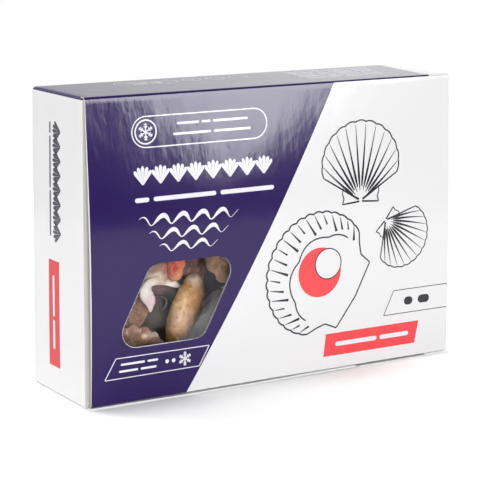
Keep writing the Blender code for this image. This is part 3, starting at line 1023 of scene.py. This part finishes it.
top_white = [
    pill(np.array([-70.0, 45]), np.array([-44.0, 45]), 6, 0.3),
    *bars((-68, 46.8), (-46, 46.8), 0.7, (6, 4)),
    *bars((-66, 43.2), (-48, 43.2), 0.7, (7, 5)),
    *[stroke(circle((-28 + 15 * k, 46), 5.2), 0.35, closed=True) for k in range(3)],
    *snowflake(np.array([-28.0, 46]), 3.6, 0.3),
    *paragraph(7, lambda k: (31 + k * 0.6, 19 + 5.4 * k), lambda k: (84 + k * 1.6, 19 + 5.4 * k), 0.8),
]
print_piece("top_white_print", top_white, on_top, TOP, top_ink)

back_lines = [
    *shell_figure((-60, 84), 0, 52, math.radians(60), 13, 0.34),
    *paragraph(5, lambda k: (-104, 66 - 8 * k), lambda k: (-20 + 4 * (k % 2), 66 - 8 * k), 1.0),
]
back_white = [
    *little_fans((98, 128), (20, 128), 9.4, 8),
    *paragraph(9, lambda k: (100, 112 - 7.5 * k), lambda k: (36 + 3 * (k % 2), 112 - 7.5 * k), 0.9,
               ((6, 4, 8), (4, 7, 6), (8, 3, 5))),
    stroke(even_steps([(104, 12), (40, 12), (32, 38), (104, 38)], 220), 0.3, closed=True),
]
print_piece("back_line_print", back_lines, on_back, BACK, line_ink)
print_piece("back_white_print", back_white, on_back, BACK, white_ink)
BACK_LABEL = [(-104, 10), (-48, 10), (-51, 22), (-104, 22)]
print_piece("back_coral_print", [patch(BACK_LABEL)], on_back, BACK, coral_ink, OVERPRINT)

# ---------------------------------------------------------------------------------------------
# The window film: clear plastic, cut larger than the window and glued behind the board. Frost
# has hazed it a little at its right.

FILM = 0.06 * MM
FILM_BEHIND = BOARD + 0.2 * MM
FILM_OVERLAP = 7 * MM
FROST_X, FROST_Z = -36.6 * MM, 58 * MM
FROST_TURN = math.radians(48.5)
FROST_EDGE = 4 * MM
FROST_VEIL = 0.05
CLEAR_VEIL = 0.004


def film_grid():
    """A sheet that follows the panel from behind, from the window's lowest left corner to its
    highest right one, and past both by the overlap."""
    (left, low), (right, high) = window_corners()[0], window_corners()[2]
    x, z = np.meshgrid(np.linspace(left - FILM_OVERLAP, right + FILM_OVERLAP, 70),
                       np.linspace(low - FILM_OVERLAP, high + FILM_OVERLAP, 50))
    return np.stack([x, front_y(x, z) + FILM_BEHIND, z], axis=-1)


def film_finish():
    """Clear film, with a thin veil past a slanted edge that wanders with noise."""
    paint = Paint("film", Roughness=0.12, IOR=1.45)
    past = (paint.x - FROST_X) * math.cos(FROST_TURN) - (paint.z - FROST_Z) * math.sin(FROST_TURN)
    drift = (paint.noise(160, 4, 0.65) - 0.5) * FROST_EDGE
    frost = (past + drift).smooth(-FROST_EDGE / 2, FROST_EDGE)
    return paint.wear(colour=(0.78, 0.8, 0.84), alpha=frost * FROST_VEIL + CLEAR_VEIL,
                      relief=(paint.noise(120, 2), 0.0001))


film = mesh_piece("film", *joined([film_grid()]), [film_finish()])
thicken(film, FILM)
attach(film, "root")
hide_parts("window_film")

# ---------------------------------------------------------------------------------------------
# The scallops behind the film: soft parts first. Each is a lobe, a rounded section swept along a
# smooth spine and roughened by random hills; its spine rows are x, depth behind the tray's
# front, z, half width and half thickness in millimetres.


HILL_WAVES = 26
HILL_HEIGHT = 1.6


def hills(points, size, seed):
    """Smooth random relief around 0: the mean of cosine waves about that size apart, with their
    directions and starts drawn from a seeded generator."""
    random = np.random.default_rng(seed)
    heading = random.normal(size=(HILL_WAVES, 3))
    heading *= (2 * np.pi / size * random.uniform(0.6, 1.5, (HILL_WAVES, 1))
                / np.linalg.norm(heading, axis=1, keepdims=True))
    start = random.uniform(0, 2 * np.pi, HILL_WAVES)
    return np.cos(points @ heading.T + start).sum(axis=-1) / math.sqrt(HILL_WAVES / 2) / HILL_HEIGHT


def smooth_rows(rows, count):
    """A Catmull-Rom curve through the rows: on each stretch a cubic whose slope at a row is half
    the step between its two neighbours."""
    rows = np.asarray(rows, float)
    padded = np.concatenate([2 * rows[:1] - rows[1:2], rows, 2 * rows[-1:] - rows[-2:-1]])
    at = np.linspace(0, len(rows) - 1, count)
    index = np.minimum(at.astype(int), len(rows) - 2)
    t = (at - index)[:, None]
    a, b, c, d = (padded[index + k] for k in range(4))
    return 0.5 * (2 * b + (c - a) * t + (2 * a - 5 * b + 4 * c - d) * t ** 2
                  + (3 * b - a - 3 * c + d) * t ** 3)


LOBE_RINGS = 110
LOBE_AROUND = 72
LOBE_CAP = 0.05
LOBE_LEAST = 0.3
CREASE_WIDTH = 0.32
FINE_HILLS = 3.2
FINE_HEIGHT = 0.35
FULL_RELIEF = 2.5


def lobe(name, spine, finish, seed, relief=0.35, size=7, full=2.3, crease=0.0, replaced=None):
    """A closed soft form. Its section is a superellipse of the given fullness; a crease draws the
    front in along the middle. Random hills of two sizes are added along the radius, and less
    where the form is thinner than its full relief takes."""
    path = smooth_rows(spine, LOBE_RINGS)
    centre = path[:, :3]
    along = np.gradient(centre, axis=0)
    along /= np.linalg.norm(along, axis=1, keepdims=True)
    side = np.cross(along, [0, 1, 0])
    side /= np.linalg.norm(side, axis=1, keepdims=True)
    deep = np.cross(side, along)
    turn = np.linspace(0, 2 * np.pi, LOBE_AROUND, endpoint=False)
    cos, sin = np.cos(turn), np.sin(turn)
    plump = (abs(cos) ** full + abs(sin) ** full) ** (-1 / full)
    share = np.linspace(0, 1, LOBE_RINGS)
    cap = np.sqrt(np.maximum(1 - np.maximum(0, 1 - np.minimum(share, 1 - share) / LOBE_CAP) ** 2, 0))
    width = np.maximum(path[:, 3], LOBE_LEAST) * cap
    thick = np.maximum(path[:, 4], LOBE_LEAST) * cap
    groove = 1 - crease * np.exp(-((cos / CREASE_WIDTH) ** 2)) * (sin > 0)
    arm = (side[:, None] * (width[:, None] * cos * plump)[..., None]
           + deep[:, None] * (thick[:, None] * sin * plump * groove)[..., None])
    points = centre[:, None] + arm
    reach = np.linalg.norm(arm, axis=-1, keepdims=True) + 0.001
    rough = relief * (hills(points, size, seed) + FINE_HEIGHT * hills(points, size / FINE_HILLS, seed + 1))
    points = points + (arm / reach * rough[..., None] * np.minimum(1, reach / FULL_RELIEF)
                       * cap[:, None, None])
    points = points * MM + [0, FRONT_Y, 0]
    piece = mesh_piece(name, *joined([points], wraps=(0,)), [finish], weld=WELD, outward=True,
                       smooth_angle=0)
    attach(piece, "root")
    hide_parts(replaced or name)


def tone(red, green, blue):
    """A display colour, 0 to 255, as the linear colour that a shader takes."""
    return tuple(((c / 255 + 0.055) / 1.055) ** 2.4 if c > 10 else c / 3294.6 for c in (red, green, blue))


FLESH_ROUGHNESS = 0.42
FLESH_UNEVEN = 0.25
FLESH_GLOSS = 0.35


def soft_finish(name, base, shade, patches, scale=220, relief=0.0003, drawn=None, turn=0, frost=0.25):
    """Moist frozen flesh: two tones in cloudy patches, then coloured patches, each (colour, mask)
    with the mask worked out from the paint, and a fine frosty grain. All are display colours."""
    base, shade = tone(*base), tone(*shade)
    paint = Paint(name, Coat_Roughness=0.25, IOR=1.38, Subsurface_Weight=0.12,
                  Subsurface_Radius=(0.004, 0.002, 0.001), Subsurface_Scale=0.4)
    cloud = paint.noise(scale, 5, 0.6, drawn, turn)
    fine = paint.noise(scale * 6, 3, 0.7)
    colour = paint.mix(cloud.smooth(0.35, 0.68), base, shade)
    for patch_colour, mask in patches:
        colour = paint.mix(mask(paint), colour, tone(*patch_colour))
    colour = paint.mix(fine.smooth(0.55, 0.8) * frost, colour, scaled(base, 0.65, lift=0.35))
    return paint.wear(colour=colour, roughness=FLESH_ROUGHNESS + cloud * FLESH_UNEVEN, coat=FLESH_GLOSS,
                      relief=(cloud * 0.6 + fine * 0.4, relief))


def spot(colour, x, z, width, height, edge=0.5, scale=260, amount=0.55):
    """A coloured patch about a place: its mask is 1 inside an ellipse whose edge wanders with
    noise."""
    def mask(paint):
        across = (paint.x - x * MM) / (width * MM)
        up = (paint.z - z * MM) / (height * MM)
        wander = (paint.noise(scale, 3, 0.6) - 0.5) * (2 * amount)
        distance = (across * across + up * up) ** 0.5 + wander
        return 1 - distance.smooth(1 - edge, 1 + edge)
    return colour, mask


# Where the painted shade down the tongue's right side lies, and how dark it is.
FAR_SIDE_X = -43.2 * MM
FAR_SIDE_BEND = 51 * MM
FAR_SIDE_LEAN = 0.46
FAR_SIDE_BAND = 9 * MM
FAR_SIDE_SHADE = 0.85


def painted_far_side_shade(paint):
    """Painted shade down the tongue's right side, away from the light: the side leans left below its
    middle, and a soft band runs before it.
    """
    lean = (paint.z - FAR_SIDE_BEND).math("MINIMUM", 0.0) * FAR_SIDE_LEAN
    return (paint.x - lean - FAR_SIDE_X).smooth(-FAR_SIDE_BAND, 0.0) * FAR_SIDE_SHADE


# Among the tongue's patches, the pale one at its tip is a painted highlight, the dark one at its foot is
# painted shade where it sinks into the gap, and the last is painted shade down its right side.
roe_tan_finish = soft_finish(
    "roe_tan_finish", (182, 136, 88), (166, 115, 67),
    [spot((218, 200, 180), -47.4, 62.4, 5, 2.8, 0.9, 500, 0.9),
     spot((236, 196, 142), -59.4, 50.5, 4.2, 8.5, 0.9),
     spot((218, 184, 152), -58.6, 40.5, 5, 6, 0.9), spot((190, 150, 122), -53, 38.5, 4, 5, 0.9),
     spot((92, 56, 22), -60.5, 28.5, 9, 4.2, 0.8),
     ((154, 103, 58), lambda paint: paint.noise(300, 4, 0.65).smooth(0.46, 0.68) * 0.55),
     ((212, 174, 126), lambda paint: paint.noise(290, 3, 0.6).smooth(0.54, 0.7) * 0.4),
     ((58, 38, 30), painted_far_side_shade)],
    relief=0.0005, frost=0.08)
lobe("roe_tan", [(-46.8, 9, 64.4, 1.6, 1.4), (-47.2, 9, 61.6, 4.6, 4), (-48.6, 9, 56, 6.9, 5.5),
                 (-50.4, 9, 51, 7.9, 6.1), (-52.2, 9, 47.2, 8.2, 6.1), (-54.2, 9, 43.2, 7.9, 6),
                 (-56, 9, 39.2, 7.7, 5.9), (-57.4, 9, 35.4, 7.3, 5.7), (-58.8, 9, 31, 6.3, 5.1),
                 (-59.6, 9, 26, 5.2, 4.4), (-60.5, 9, 21, 4.2, 3.6), (-61.5, 9, 17, 1.6, 1.4)],
     roe_tan_finish, 11, relief=0.32, size=8, crease=0.06)

THREADS = ((224, 212, 196), lambda paint: paint.noise(420, 3, 0.6, (1, 1, 6), 30).smooth(0.5, 0.66) * 0.5)
cream_finish = soft_finish(
    "cream_finish", (238, 230, 222), (224, 212, 206), [spot((222, 198, 202), -75.5, 50, 5, 6), THREADS],
    scale=260, relief=0.0005, frost=0.3)
# The strip's first, near-white patch is a painted highlight.
strip_finish = soft_finish(
    "strip_finish", (212, 190, 176), (198, 174, 158),
    [spot((250, 240, 234), -60, 58.4, 5, 1.8, 0.8), spot((236, 226, 214), -75, 61, 4.5, 2.4, 0.9),
     spot((214, 170, 146), -65, 65, 5, 1.8, 0.9), THREADS], scale=260, relief=0.0005, frost=0.2)
lobe("flesh_cream", [(-77, 9.2, 63, .8, .5), (-77.2, 8.8, 60.4, 2.9, 1.1), (-77.8, 8.6, 56.8, 3.9, 1.5),
                     (-75.6, 8.6, 52.4, 3.5, 1.5), (-75.2, 8.6, 48.8, 1.9, 1.1), (-75.2, 8.6, 45.8, .6, .5)],
     cream_finish, 23, relief=0.3, size=7, crease=0.1)
lobe("flesh_strip", [(-79, 9.6, 60.2, 1.6, .6), (-75.4, 9.8, 61.4, 2.3, .9), (-71.8, 10.6, 62.1, 2.3, 1),
                     (-67.6, 12, 62.2, 2.9, 1.1), (-64.5, 12.3, 61.9, 3.2, 1.1), (-61.3, 12.8, 60.2, 2.4, 1),
                     (-57.5, 13.6, 58.2, 1.9, .9), (-53, 14.8, 56.4, .6, .5)],
     strip_finish, 25, relief=0.15, size=9, full=2.8, replaced="flesh_cream")

red_finish = soft_finish(
    "red_finish", (196, 66, 48), (170, 50, 38),
    [spot((190, 124, 86), -56, 68, 3, 7, 0.9, 300, 0.9),
     spot((200, 140, 104), -59.6, 62.8, 6, 2.8, 0.9, 300, 0.9),
     spot((168, 104, 84), -65, 67, 2.4, 6, 0.9, 300, 0.6)], scale=300, frost=0.14)
lobe("roe_red", [(-60.8, 9.5, 60.8, .8, .8), (-60.3, 9.5, 63.6, 3.8, 2.6), (-59.4, 9.5, 67.8, 5, 3.2),
                 (-58.4, 9.5, 74.8, 5, 3.4), (-56.4, 9.5, 80, 1, .9)],
     red_finish, 31, relief=0.4, size=6)


def mantle_finish(name, base, shade, streak, turn, patches=()):
    """Mantle flesh: pale thread-like streaks close together over two darker tones."""
    threads = (streak, lambda paint: paint.noise(520, 3, 0.6, (1, 1, 9), turn).smooth(0.48, 0.62) * 0.75)
    return soft_finish(name, base, shade, [threads, *patches], scale=300, relief=0.0006, drawn=(1, 1, 4),
                       turn=turn, frost=0.12)


# The mantle's two dark patches are painted shade under the window's top edge.
lobe("mantle_mauve", [(-53, 20, 78, 1, .8), (-47, 20.5, 70, 7.6, 3.4), (-39, 21.5, 63.5, 7.6, 3),
                      (-31, 23, 57, 1, 1)],
     mantle_finish("mantle_finish", (158, 116, 104), (116, 84, 76), (178, 140, 128), 12,
                   [spot((92, 62, 66), -47.8, 69.5, 3.4, 5, 0.8),
                    spot((66, 46, 40), -38, 68.5, 4, 5, 0.9)]),
     43, relief=0.5, size=6)
lobe("mantle_fold", [(-86, 16.4, 73, 1, 1), (-78, 14.2, 67.6, 6.4, 2.6), (-69, 13, 67, 6.2, 2.4),
                     (-62, 11.6, 67.4, 4.6, 2.1), (-57, 11, 66, 1, .8)],
     mantle_finish("fold_finish", (150, 118, 102), (122, 96, 84), (172, 142, 124), 40,
                   [spot((204, 194, 174), -69.5, 64, 5.4, 2.2, 0.8, 380, 0.9),
                    spot((122, 108, 84), -74, 61.6, 1.3, 1.8, 0.7, 380, 0.9),
                    spot((182, 86, 70), -61.5, 68, 4, 5, 0.9)]),
     47, relief=0.4, size=7, replaced="mantle_mauve")
lobe("gill_ridge", [(-66.2, 19.8, 51, .3, .3), (-63, 19.4, 51, .5, .5), (-60.8, 19, 49.8, .7, .6),
                    (-59.6, 18.9, 47.6, .8, .7), (-60.2, 19, 45.2, .7, .6), (-61.8, 19.3, 43.3, .5, .5),
                    (-64.2, 19.8, 42.6, .3, .3)],
     mantle_finish("gill_finish", (108, 99, 103), (94, 86, 90), (126, 117, 121), 60),
     49, relief=0.25, size=4, replaced="mantle_mauve")

# Their shells: thin fans with rounded ribs and growth rings, frozen at all angles. A valve is
# set by its umbo, a point that it runs towards, the way that its outside faces, its length and
# the height of its arch.

VALVE_SPREAD = math.radians(62)
VALVE_START = 0.04
VALVE_THICKNESS = 1.3
VALVE_ROUND = 0.8
VALVE_SIDES = 1.2
VALVE_WEAR = 0.25
RIB_SWELL = 0.016
RIB_HEIGHT = 0.42
RAGGED_EDGE = 0.22
GROWTH_RINGS = ((0.1, 1.9, 0), (0.16, 0.62, 1))


def valve(name, umbo, towards, outside, length, arch, ribs, finish, replaced, seed):
    """A fan over angle and share of the way out. Its rim radius falls off as a cosine; it domes
    as a sine of the share, less towards its sides, and each rib is a cosine wave across it, with
    two sine waves outwards for the growth rings and a ragged rim. The same two shares are kept as
    a UV map, for the finish to follow."""
    umbo, towards, outside = (np.asarray(v, float) for v in (umbo, towards, outside))
    axis = (towards - umbo) / np.linalg.norm(towards - umbo)
    out = outside - axis * (outside @ axis)
    out /= np.linalg.norm(out)
    across = np.cross(axis, out)
    angle, share = np.meshgrid(np.linspace(-VALVE_SPREAD, VALVE_SPREAD, 150),
                               np.linspace(VALVE_START, 1, 70))
    wave = np.cos(2 * np.pi * ribs * (angle / VALVE_SPREAD + 1) / 2)
    radius = length * np.cos(VALVE_ROUND * angle) * share * (1 + RIB_SWELL * wave * share)
    rings = sum(depth * np.sin(share * length * pace + start) for depth, pace, start in GROWTH_RINGS)
    dome = (arch * np.sin(np.pi * share ** 0.6) * np.cos(VALVE_SIDES * angle)
            - RIB_HEIGHT * share ** 0.7 * wave + rings * share)
    points = umbo + ((radius * np.cos(angle))[..., None] * axis
                     + (radius * np.sin(angle))[..., None] * across + dome[..., None] * out)
    points = points + (VALVE_WEAR * hills(points, 9, seed))[..., None] * out
    ragged = RAGGED_EDGE * hills(points, 3, seed + 1) * share ** 12
    points = points + ragged[..., None] * axis
    grown = np.stack([angle / VALVE_SPREAD / 2 + 0.5, share], axis=-1)
    if facing(points) @ outside < 0:
        points, grown = points[:, ::-1], grown[:, ::-1]
    piece = mesh_piece(name, *joined([points * MM + [0, FRONT_Y, 0]]), [finish], smooth_angle=0)
    corner = np.empty(len(piece.data.loops), np.int32)
    piece.data.loops.foreach_get("vertex_index", corner)
    growth = piece.data.uv_layers.new(name="growth")
    growth.data.foreach_set("uv", grown.reshape(-1, 2)[corner].ravel())
    thicken(piece, VALVE_THICKNESS * MM)
    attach(piece, "root")
    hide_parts(replaced)


SHELL_RELIEF = 0.5 * MM


def shell_finish(name, base, shade, streak, patches=(), gloss=0.25):
    """Limy shell: two cloudy tones, then streaks drawn out along the ribs and dark growth lines
    across them, coloured patches, pale specks and a matt grain. All are display colours."""
    base, shade, streak = tone(*base), tone(*shade), tone(*streak)
    paint = Paint(name, Coat_Roughness=0.3, IOR=1.5)
    growth = paint.node("ShaderNodeUVMap", {"uv_map": "growth"}, {})
    cloud = paint.noise(130, 5, 0.65)
    ribbed = paint.noise(1, 4, 0.65, drawn=(1 / 55, 1 / 5, 1), where=growth)
    ringed = paint.noise(1, 3, 0.6, drawn=(1 / 4, 1 / 34, 1), where=growth)
    speck = paint.noise(900, 3, 0.7)
    colour = paint.mix(cloud.smooth(0.38, 0.64), base, shade)
    colour = paint.mix(ribbed.smooth(0.5, 0.66) * 0.8, colour, streak)
    colour = paint.mix(ringed.smooth(0.55, 0.7) * 0.5, colour, scaled(shade, 0.35))
    for patch_colour, mask in patches:
        colour = paint.mix(mask(paint), colour, tone(*patch_colour))
    colour = paint.mix(speck.smooth(0.58, 0.75) * 0.25, colour, scaled(base, 0.5, lift=0.3))
    return paint.wear(colour=colour, roughness=0.5 + cloud * 0.2, coat=gloss,
                      relief=(cloud * 0.3 + speck * 0.3 + ribbed * 0.8 + ringed * 0.4, SHELL_RELIEF))


# The high shell's two dark patches are painted shade under the window's top and right edges.
valve("shell_high", (-1, 15, 88), (-33, 14, 60.6), (.1, -1, .2), 42.2, 6, 9,
      shell_finish("high_shell_finish", (178, 140, 104), (128, 94, 64), (204, 172, 138),
                   [spot((176, 142, 128), -28.5, 58.5, 6, 3.6, 0.8),
                    spot((74, 52, 38), -39.5, 68, 5, 6, 0.9),
                    spot((70, 50, 38), -20.5, 62, 4.4, 9, 0.8)]), "shell_high", seed=51)
valve("shell_left", (-95.2, 10.5, 50.6), (-74.8, 12, 46.6), (.1, -1, .1), 20.8, 2.6, 7,
      shell_finish("left_shell_finish", (156, 120, 102), (118, 88, 76), (184, 150, 130)),
      "shell_left", seed=52)
valve("shell_low", (-93.6, 9, 8), (-81.4, 3.2, 38.1), (0, -1, .25), 34.2, 3, 10,
      shell_finish("low_shell_finish", (168, 126, 104), (130, 94, 76), (206, 172, 152),
                   [spot((176, 150, 138), -76, 35, 5.4, 1.5, 0.9, 700, 0.9),
                    spot((96, 66, 60), -73.5, 32.2, 4.4, 1.3, 0.8, 700, 0.8),
                    spot((226, 200, 166), -82, 34.7, 1.4, 1.2, 0.5, 900, 0.7),
                    spot((92, 56, 8), -92, 31, 10, 5, 0.5),
                    spot((86, 54, 22), -84, 29.5, 14, 2.4, 0.6)]),
      "shell_low", seed=53)
valve("shell_right", (-10.5, 16, 15.5), (-23.2, 16.5, 42.7), (.35, 1, .1), 40.6, 3, 9,
      shell_finish("right_shell_finish", (104, 96, 97), (84, 78, 82), (126, 118, 118),
                   [spot((138, 126, 102), -26, 50, 4, 3, 0.9)], gloss=0.5), "shell_right", seed=54)

# The rest of the frozen heap: a dark lumpy core that fills the carton and sinks in behind the
# window, for the pieces that show to lie in the hollow.

HEAP_CLEARANCE = 3
HEAP_HOLLOW = 20
HOLLOW_X, HOLLOW_Z = -62, 50
HOLLOW_REACH_X = 66
HOLLOW_REACH_Z = 50
HEAP_EASE = 1.2
HEAP_LUMPS = 0.9
HEAP_SQUARE = 8
HOLLOW_STEEP_X, HOLLOW_STEEP_Z = 1.7, 1.5


def heap_points():
    """A box rounded as an eighth-power superellipsoid over longitude and latitude. Random hills
    roughen it, and its front sinks in by a bell curve behind the window."""
    low, high = (np.array(v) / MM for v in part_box("scallop_heap"))
    turn, rise = np.meshgrid(np.linspace(0, 2 * np.pi, 180, endpoint=False),
                             np.concatenate([[-np.pi / 2], np.linspace(-1.5, 1.5, 110), [np.pi / 2]]))
    way = np.stack([np.cos(rise) * np.cos(turn), np.cos(rise) * np.sin(turn), np.sin(rise)], axis=-1)
    half = (high - low) / 2 - HEAP_EASE
    way = way / (np.abs(way) ** HEAP_SQUARE).sum(axis=-1, keepdims=True) ** (1 / HEAP_SQUARE)
    points = (low + high) / 2 + way * half
    front = np.clip(-way[..., 1], 0, 1) ** 3
    hollow = np.exp(-(((points[..., 0] - HOLLOW_X) / HOLLOW_REACH_X * HOLLOW_STEEP_X) ** 4
                      + ((points[..., 2] - HOLLOW_Z) / HOLLOW_REACH_Z * HOLLOW_STEEP_Z) ** 4))
    rough = hills(points, 26, 71) + 0.4 * hills(points, 9, 72)
    points[..., 1] += front * (HEAP_HOLLOW * hollow + HEAP_CLEARANCE - HEAP_EASE + HEAP_LUMPS * rough)
    return points * MM


# Two of the core's patches are painted shade: the charcoal one in the hole right of the tongue and the
# near-black one in the gap by the tongue's foot.
core_finish = soft_finish(
    "core_finish", (122, 119, 114), (102, 100, 97),
    [spot((42, 40, 49), -30, 56, 14, 14), spot((150, 130, 116), -100, 40, 20, 30),
     spot((154, 132, 132), -61, 55, 10, 4, 0.8), spot((132, 106, 114), -63.5, 48, 3.4, 3.6, 0.8),
     spot((84, 80, 84), -56.5, 47.5, 3, 4.5, 0.8),
     spot((24, 14, 8), -60.5, 28.5, 5.4, 4)], scale=130, relief=0.0005,
    frost=0.1)
core = mesh_piece("heap_core", *joined([heap_points()], wraps=(0,)), [core_finish], weld=WELD, outward=True,
                  smooth_angle=0)
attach(core, "root")
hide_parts("scallop_heap")

# ---------------------------------------------------------------------------------------------
# The studio: a pale table, a soft light at the front right whose lower edge nearly meets the
# table, a fill behind the left end, a pale wall behind and a dim room in front and above.

FLOOR_RADIUS = 0.62
FLOOR_GLOW = 0.52
SHADOW_BAND, SHADOW_GLOW = (-0.01, 0.035), 0.36
RIGHT_BAND, RIGHT_GLOW = (0.03, 0.12), 1.15
CONTACT_BAND, CONTACT_GLOW = (-0.003, 0.002), 0.03


def floor_points():
    """A disc, by angle and by a radius that grows in proportion from ring to ring."""
    turn, radius = np.meshgrid(np.linspace(0, 2 * np.pi, 96, endpoint=False),
                               np.concatenate([[0], np.geomspace(0.05, FLOOR_RADIUS, 24)]))
    return np.stack([radius * np.cos(turn), radius * np.sin(turn), 0 * radius], axis=-1)


def grey(level):
    """A colour whose three parts are all that level."""
    return (level, level, level)


# The table glows towards the lens alone, which keeps it white. Its glow is least under the
# carton's edge, which paints a soft contact shadow, and most at its right, painted light that
# takes out the shadow there.
floor_paint = Paint("floor", Roughness=0.8, Specular_IOR_Level=0.1, Emission_Strength=FLOOR_GLOW)
floor_cloud = floor_paint.noise(3, 2)
beside = (abs(floor_paint.x) - FOOT_WIDTH / 2).math("MAXIMUM", 0.0)
before = (abs(floor_paint.y) - BACK_Y).math("MAXIMUM", 0.0)
gap = (beside * beside + before * before) ** 0.5
near_glow = floor_paint.mix(gap.smooth(*SHADOW_BAND), grey(SHADOW_GLOW), grey(1))
near_glow = floor_paint.mix(floor_paint.x.smooth(*RIGHT_BAND), near_glow, grey(RIGHT_GLOW))
near_glow = floor_paint.mix(gap.smooth(*CONTACT_BAND), grey(CONTACT_GLOW), near_glow)
seen = floor_paint.node("ShaderNodeLightPath", {}, {}, "Is Camera Ray")
floor_paint.wear(colour=floor_paint.mix(floor_cloud, grey(0.9), grey(0.93)),
                 glow=floor_paint.mix(seen, grey(0), near_glow))
floor = mesh_piece("floor", *joined([floor_points()[:, ::-1]], wraps=(0,)), [floor_paint.material],
                   weld=WELD)


def soft_light(name, place, aim, width, height, power, roll=0):
    """A rectangular light at a place, aimed at a point and rolled by so many degrees."""
    data = bpy.data.lights.new(name, "AREA")
    data.shape = "RECTANGLE"
    data.size, data.size_y, data.energy = width, height, power
    light = bpy.data.objects.new(name, data)
    bpy.context.scene.collection.objects.link(light)
    light.location = place
    towards = Vector(aim) - Vector(place)
    turn = towards.to_track_quat("-Z", "Y").to_matrix().to_4x4()
    light.rotation_euler = (turn @ Matrix.Rotation(math.radians(roll), 4, "Z")).to_euler()
    return light


soft_light("key", (1.03, -1.64, 0.305), (-0.05, 0, 0.305), 0.66, 0.50, 9.9, roll=42)
soft_light("front fill", (-0.75, -1.6, 0.42), (0, 0, 0.08), 1.0, 0.7, 20)
soft_light("top fill", (-0.5, 0.9, 1.6), (0, 0, 0.1), 1.0, 1.0, 19)
soft_light("end fill", (-1.7, 0.5, 0.5), (0, 0, 0.1), 1.0, 1.0, 3.9)


class Room(Paint):
    """The world round the scene, painted by direction with the same nodes."""

    def __init__(self, name):
        self.world = bpy.data.worlds.new(name)
        self.open(self.world, "Background", "Generated")


ROOM_DEPTH = (-0.2, 0.3)
ROOM_DEPTH_LIGHT = (0.1, 0.95)
ROOM_SIDE = (0.35, 0.62)
ROOM_SIDE_LIGHT = (0.65, 1.1)


def rise(shade, low, high, least, most):
    """From least to most on an S-shaped rise between low and high."""
    return shade.smooth(low, high) * (most - least) + least


room = Room("studio")
bpy.context.scene.world = room.world
brightness = rise(room.y, *ROOM_DEPTH, *ROOM_DEPTH_LIGHT) * rise(room.x, *ROOM_SIDE, *ROOM_SIDE_LIGHT)
seen = room.node("ShaderNodeLightPath", {}, {}, "Is Camera Ray")
room.plug(room.shader.inputs["Color"], brightness.math("MAXIMUM", seen))

bpy.context.scene.view_settings.view_transform = "Standard"
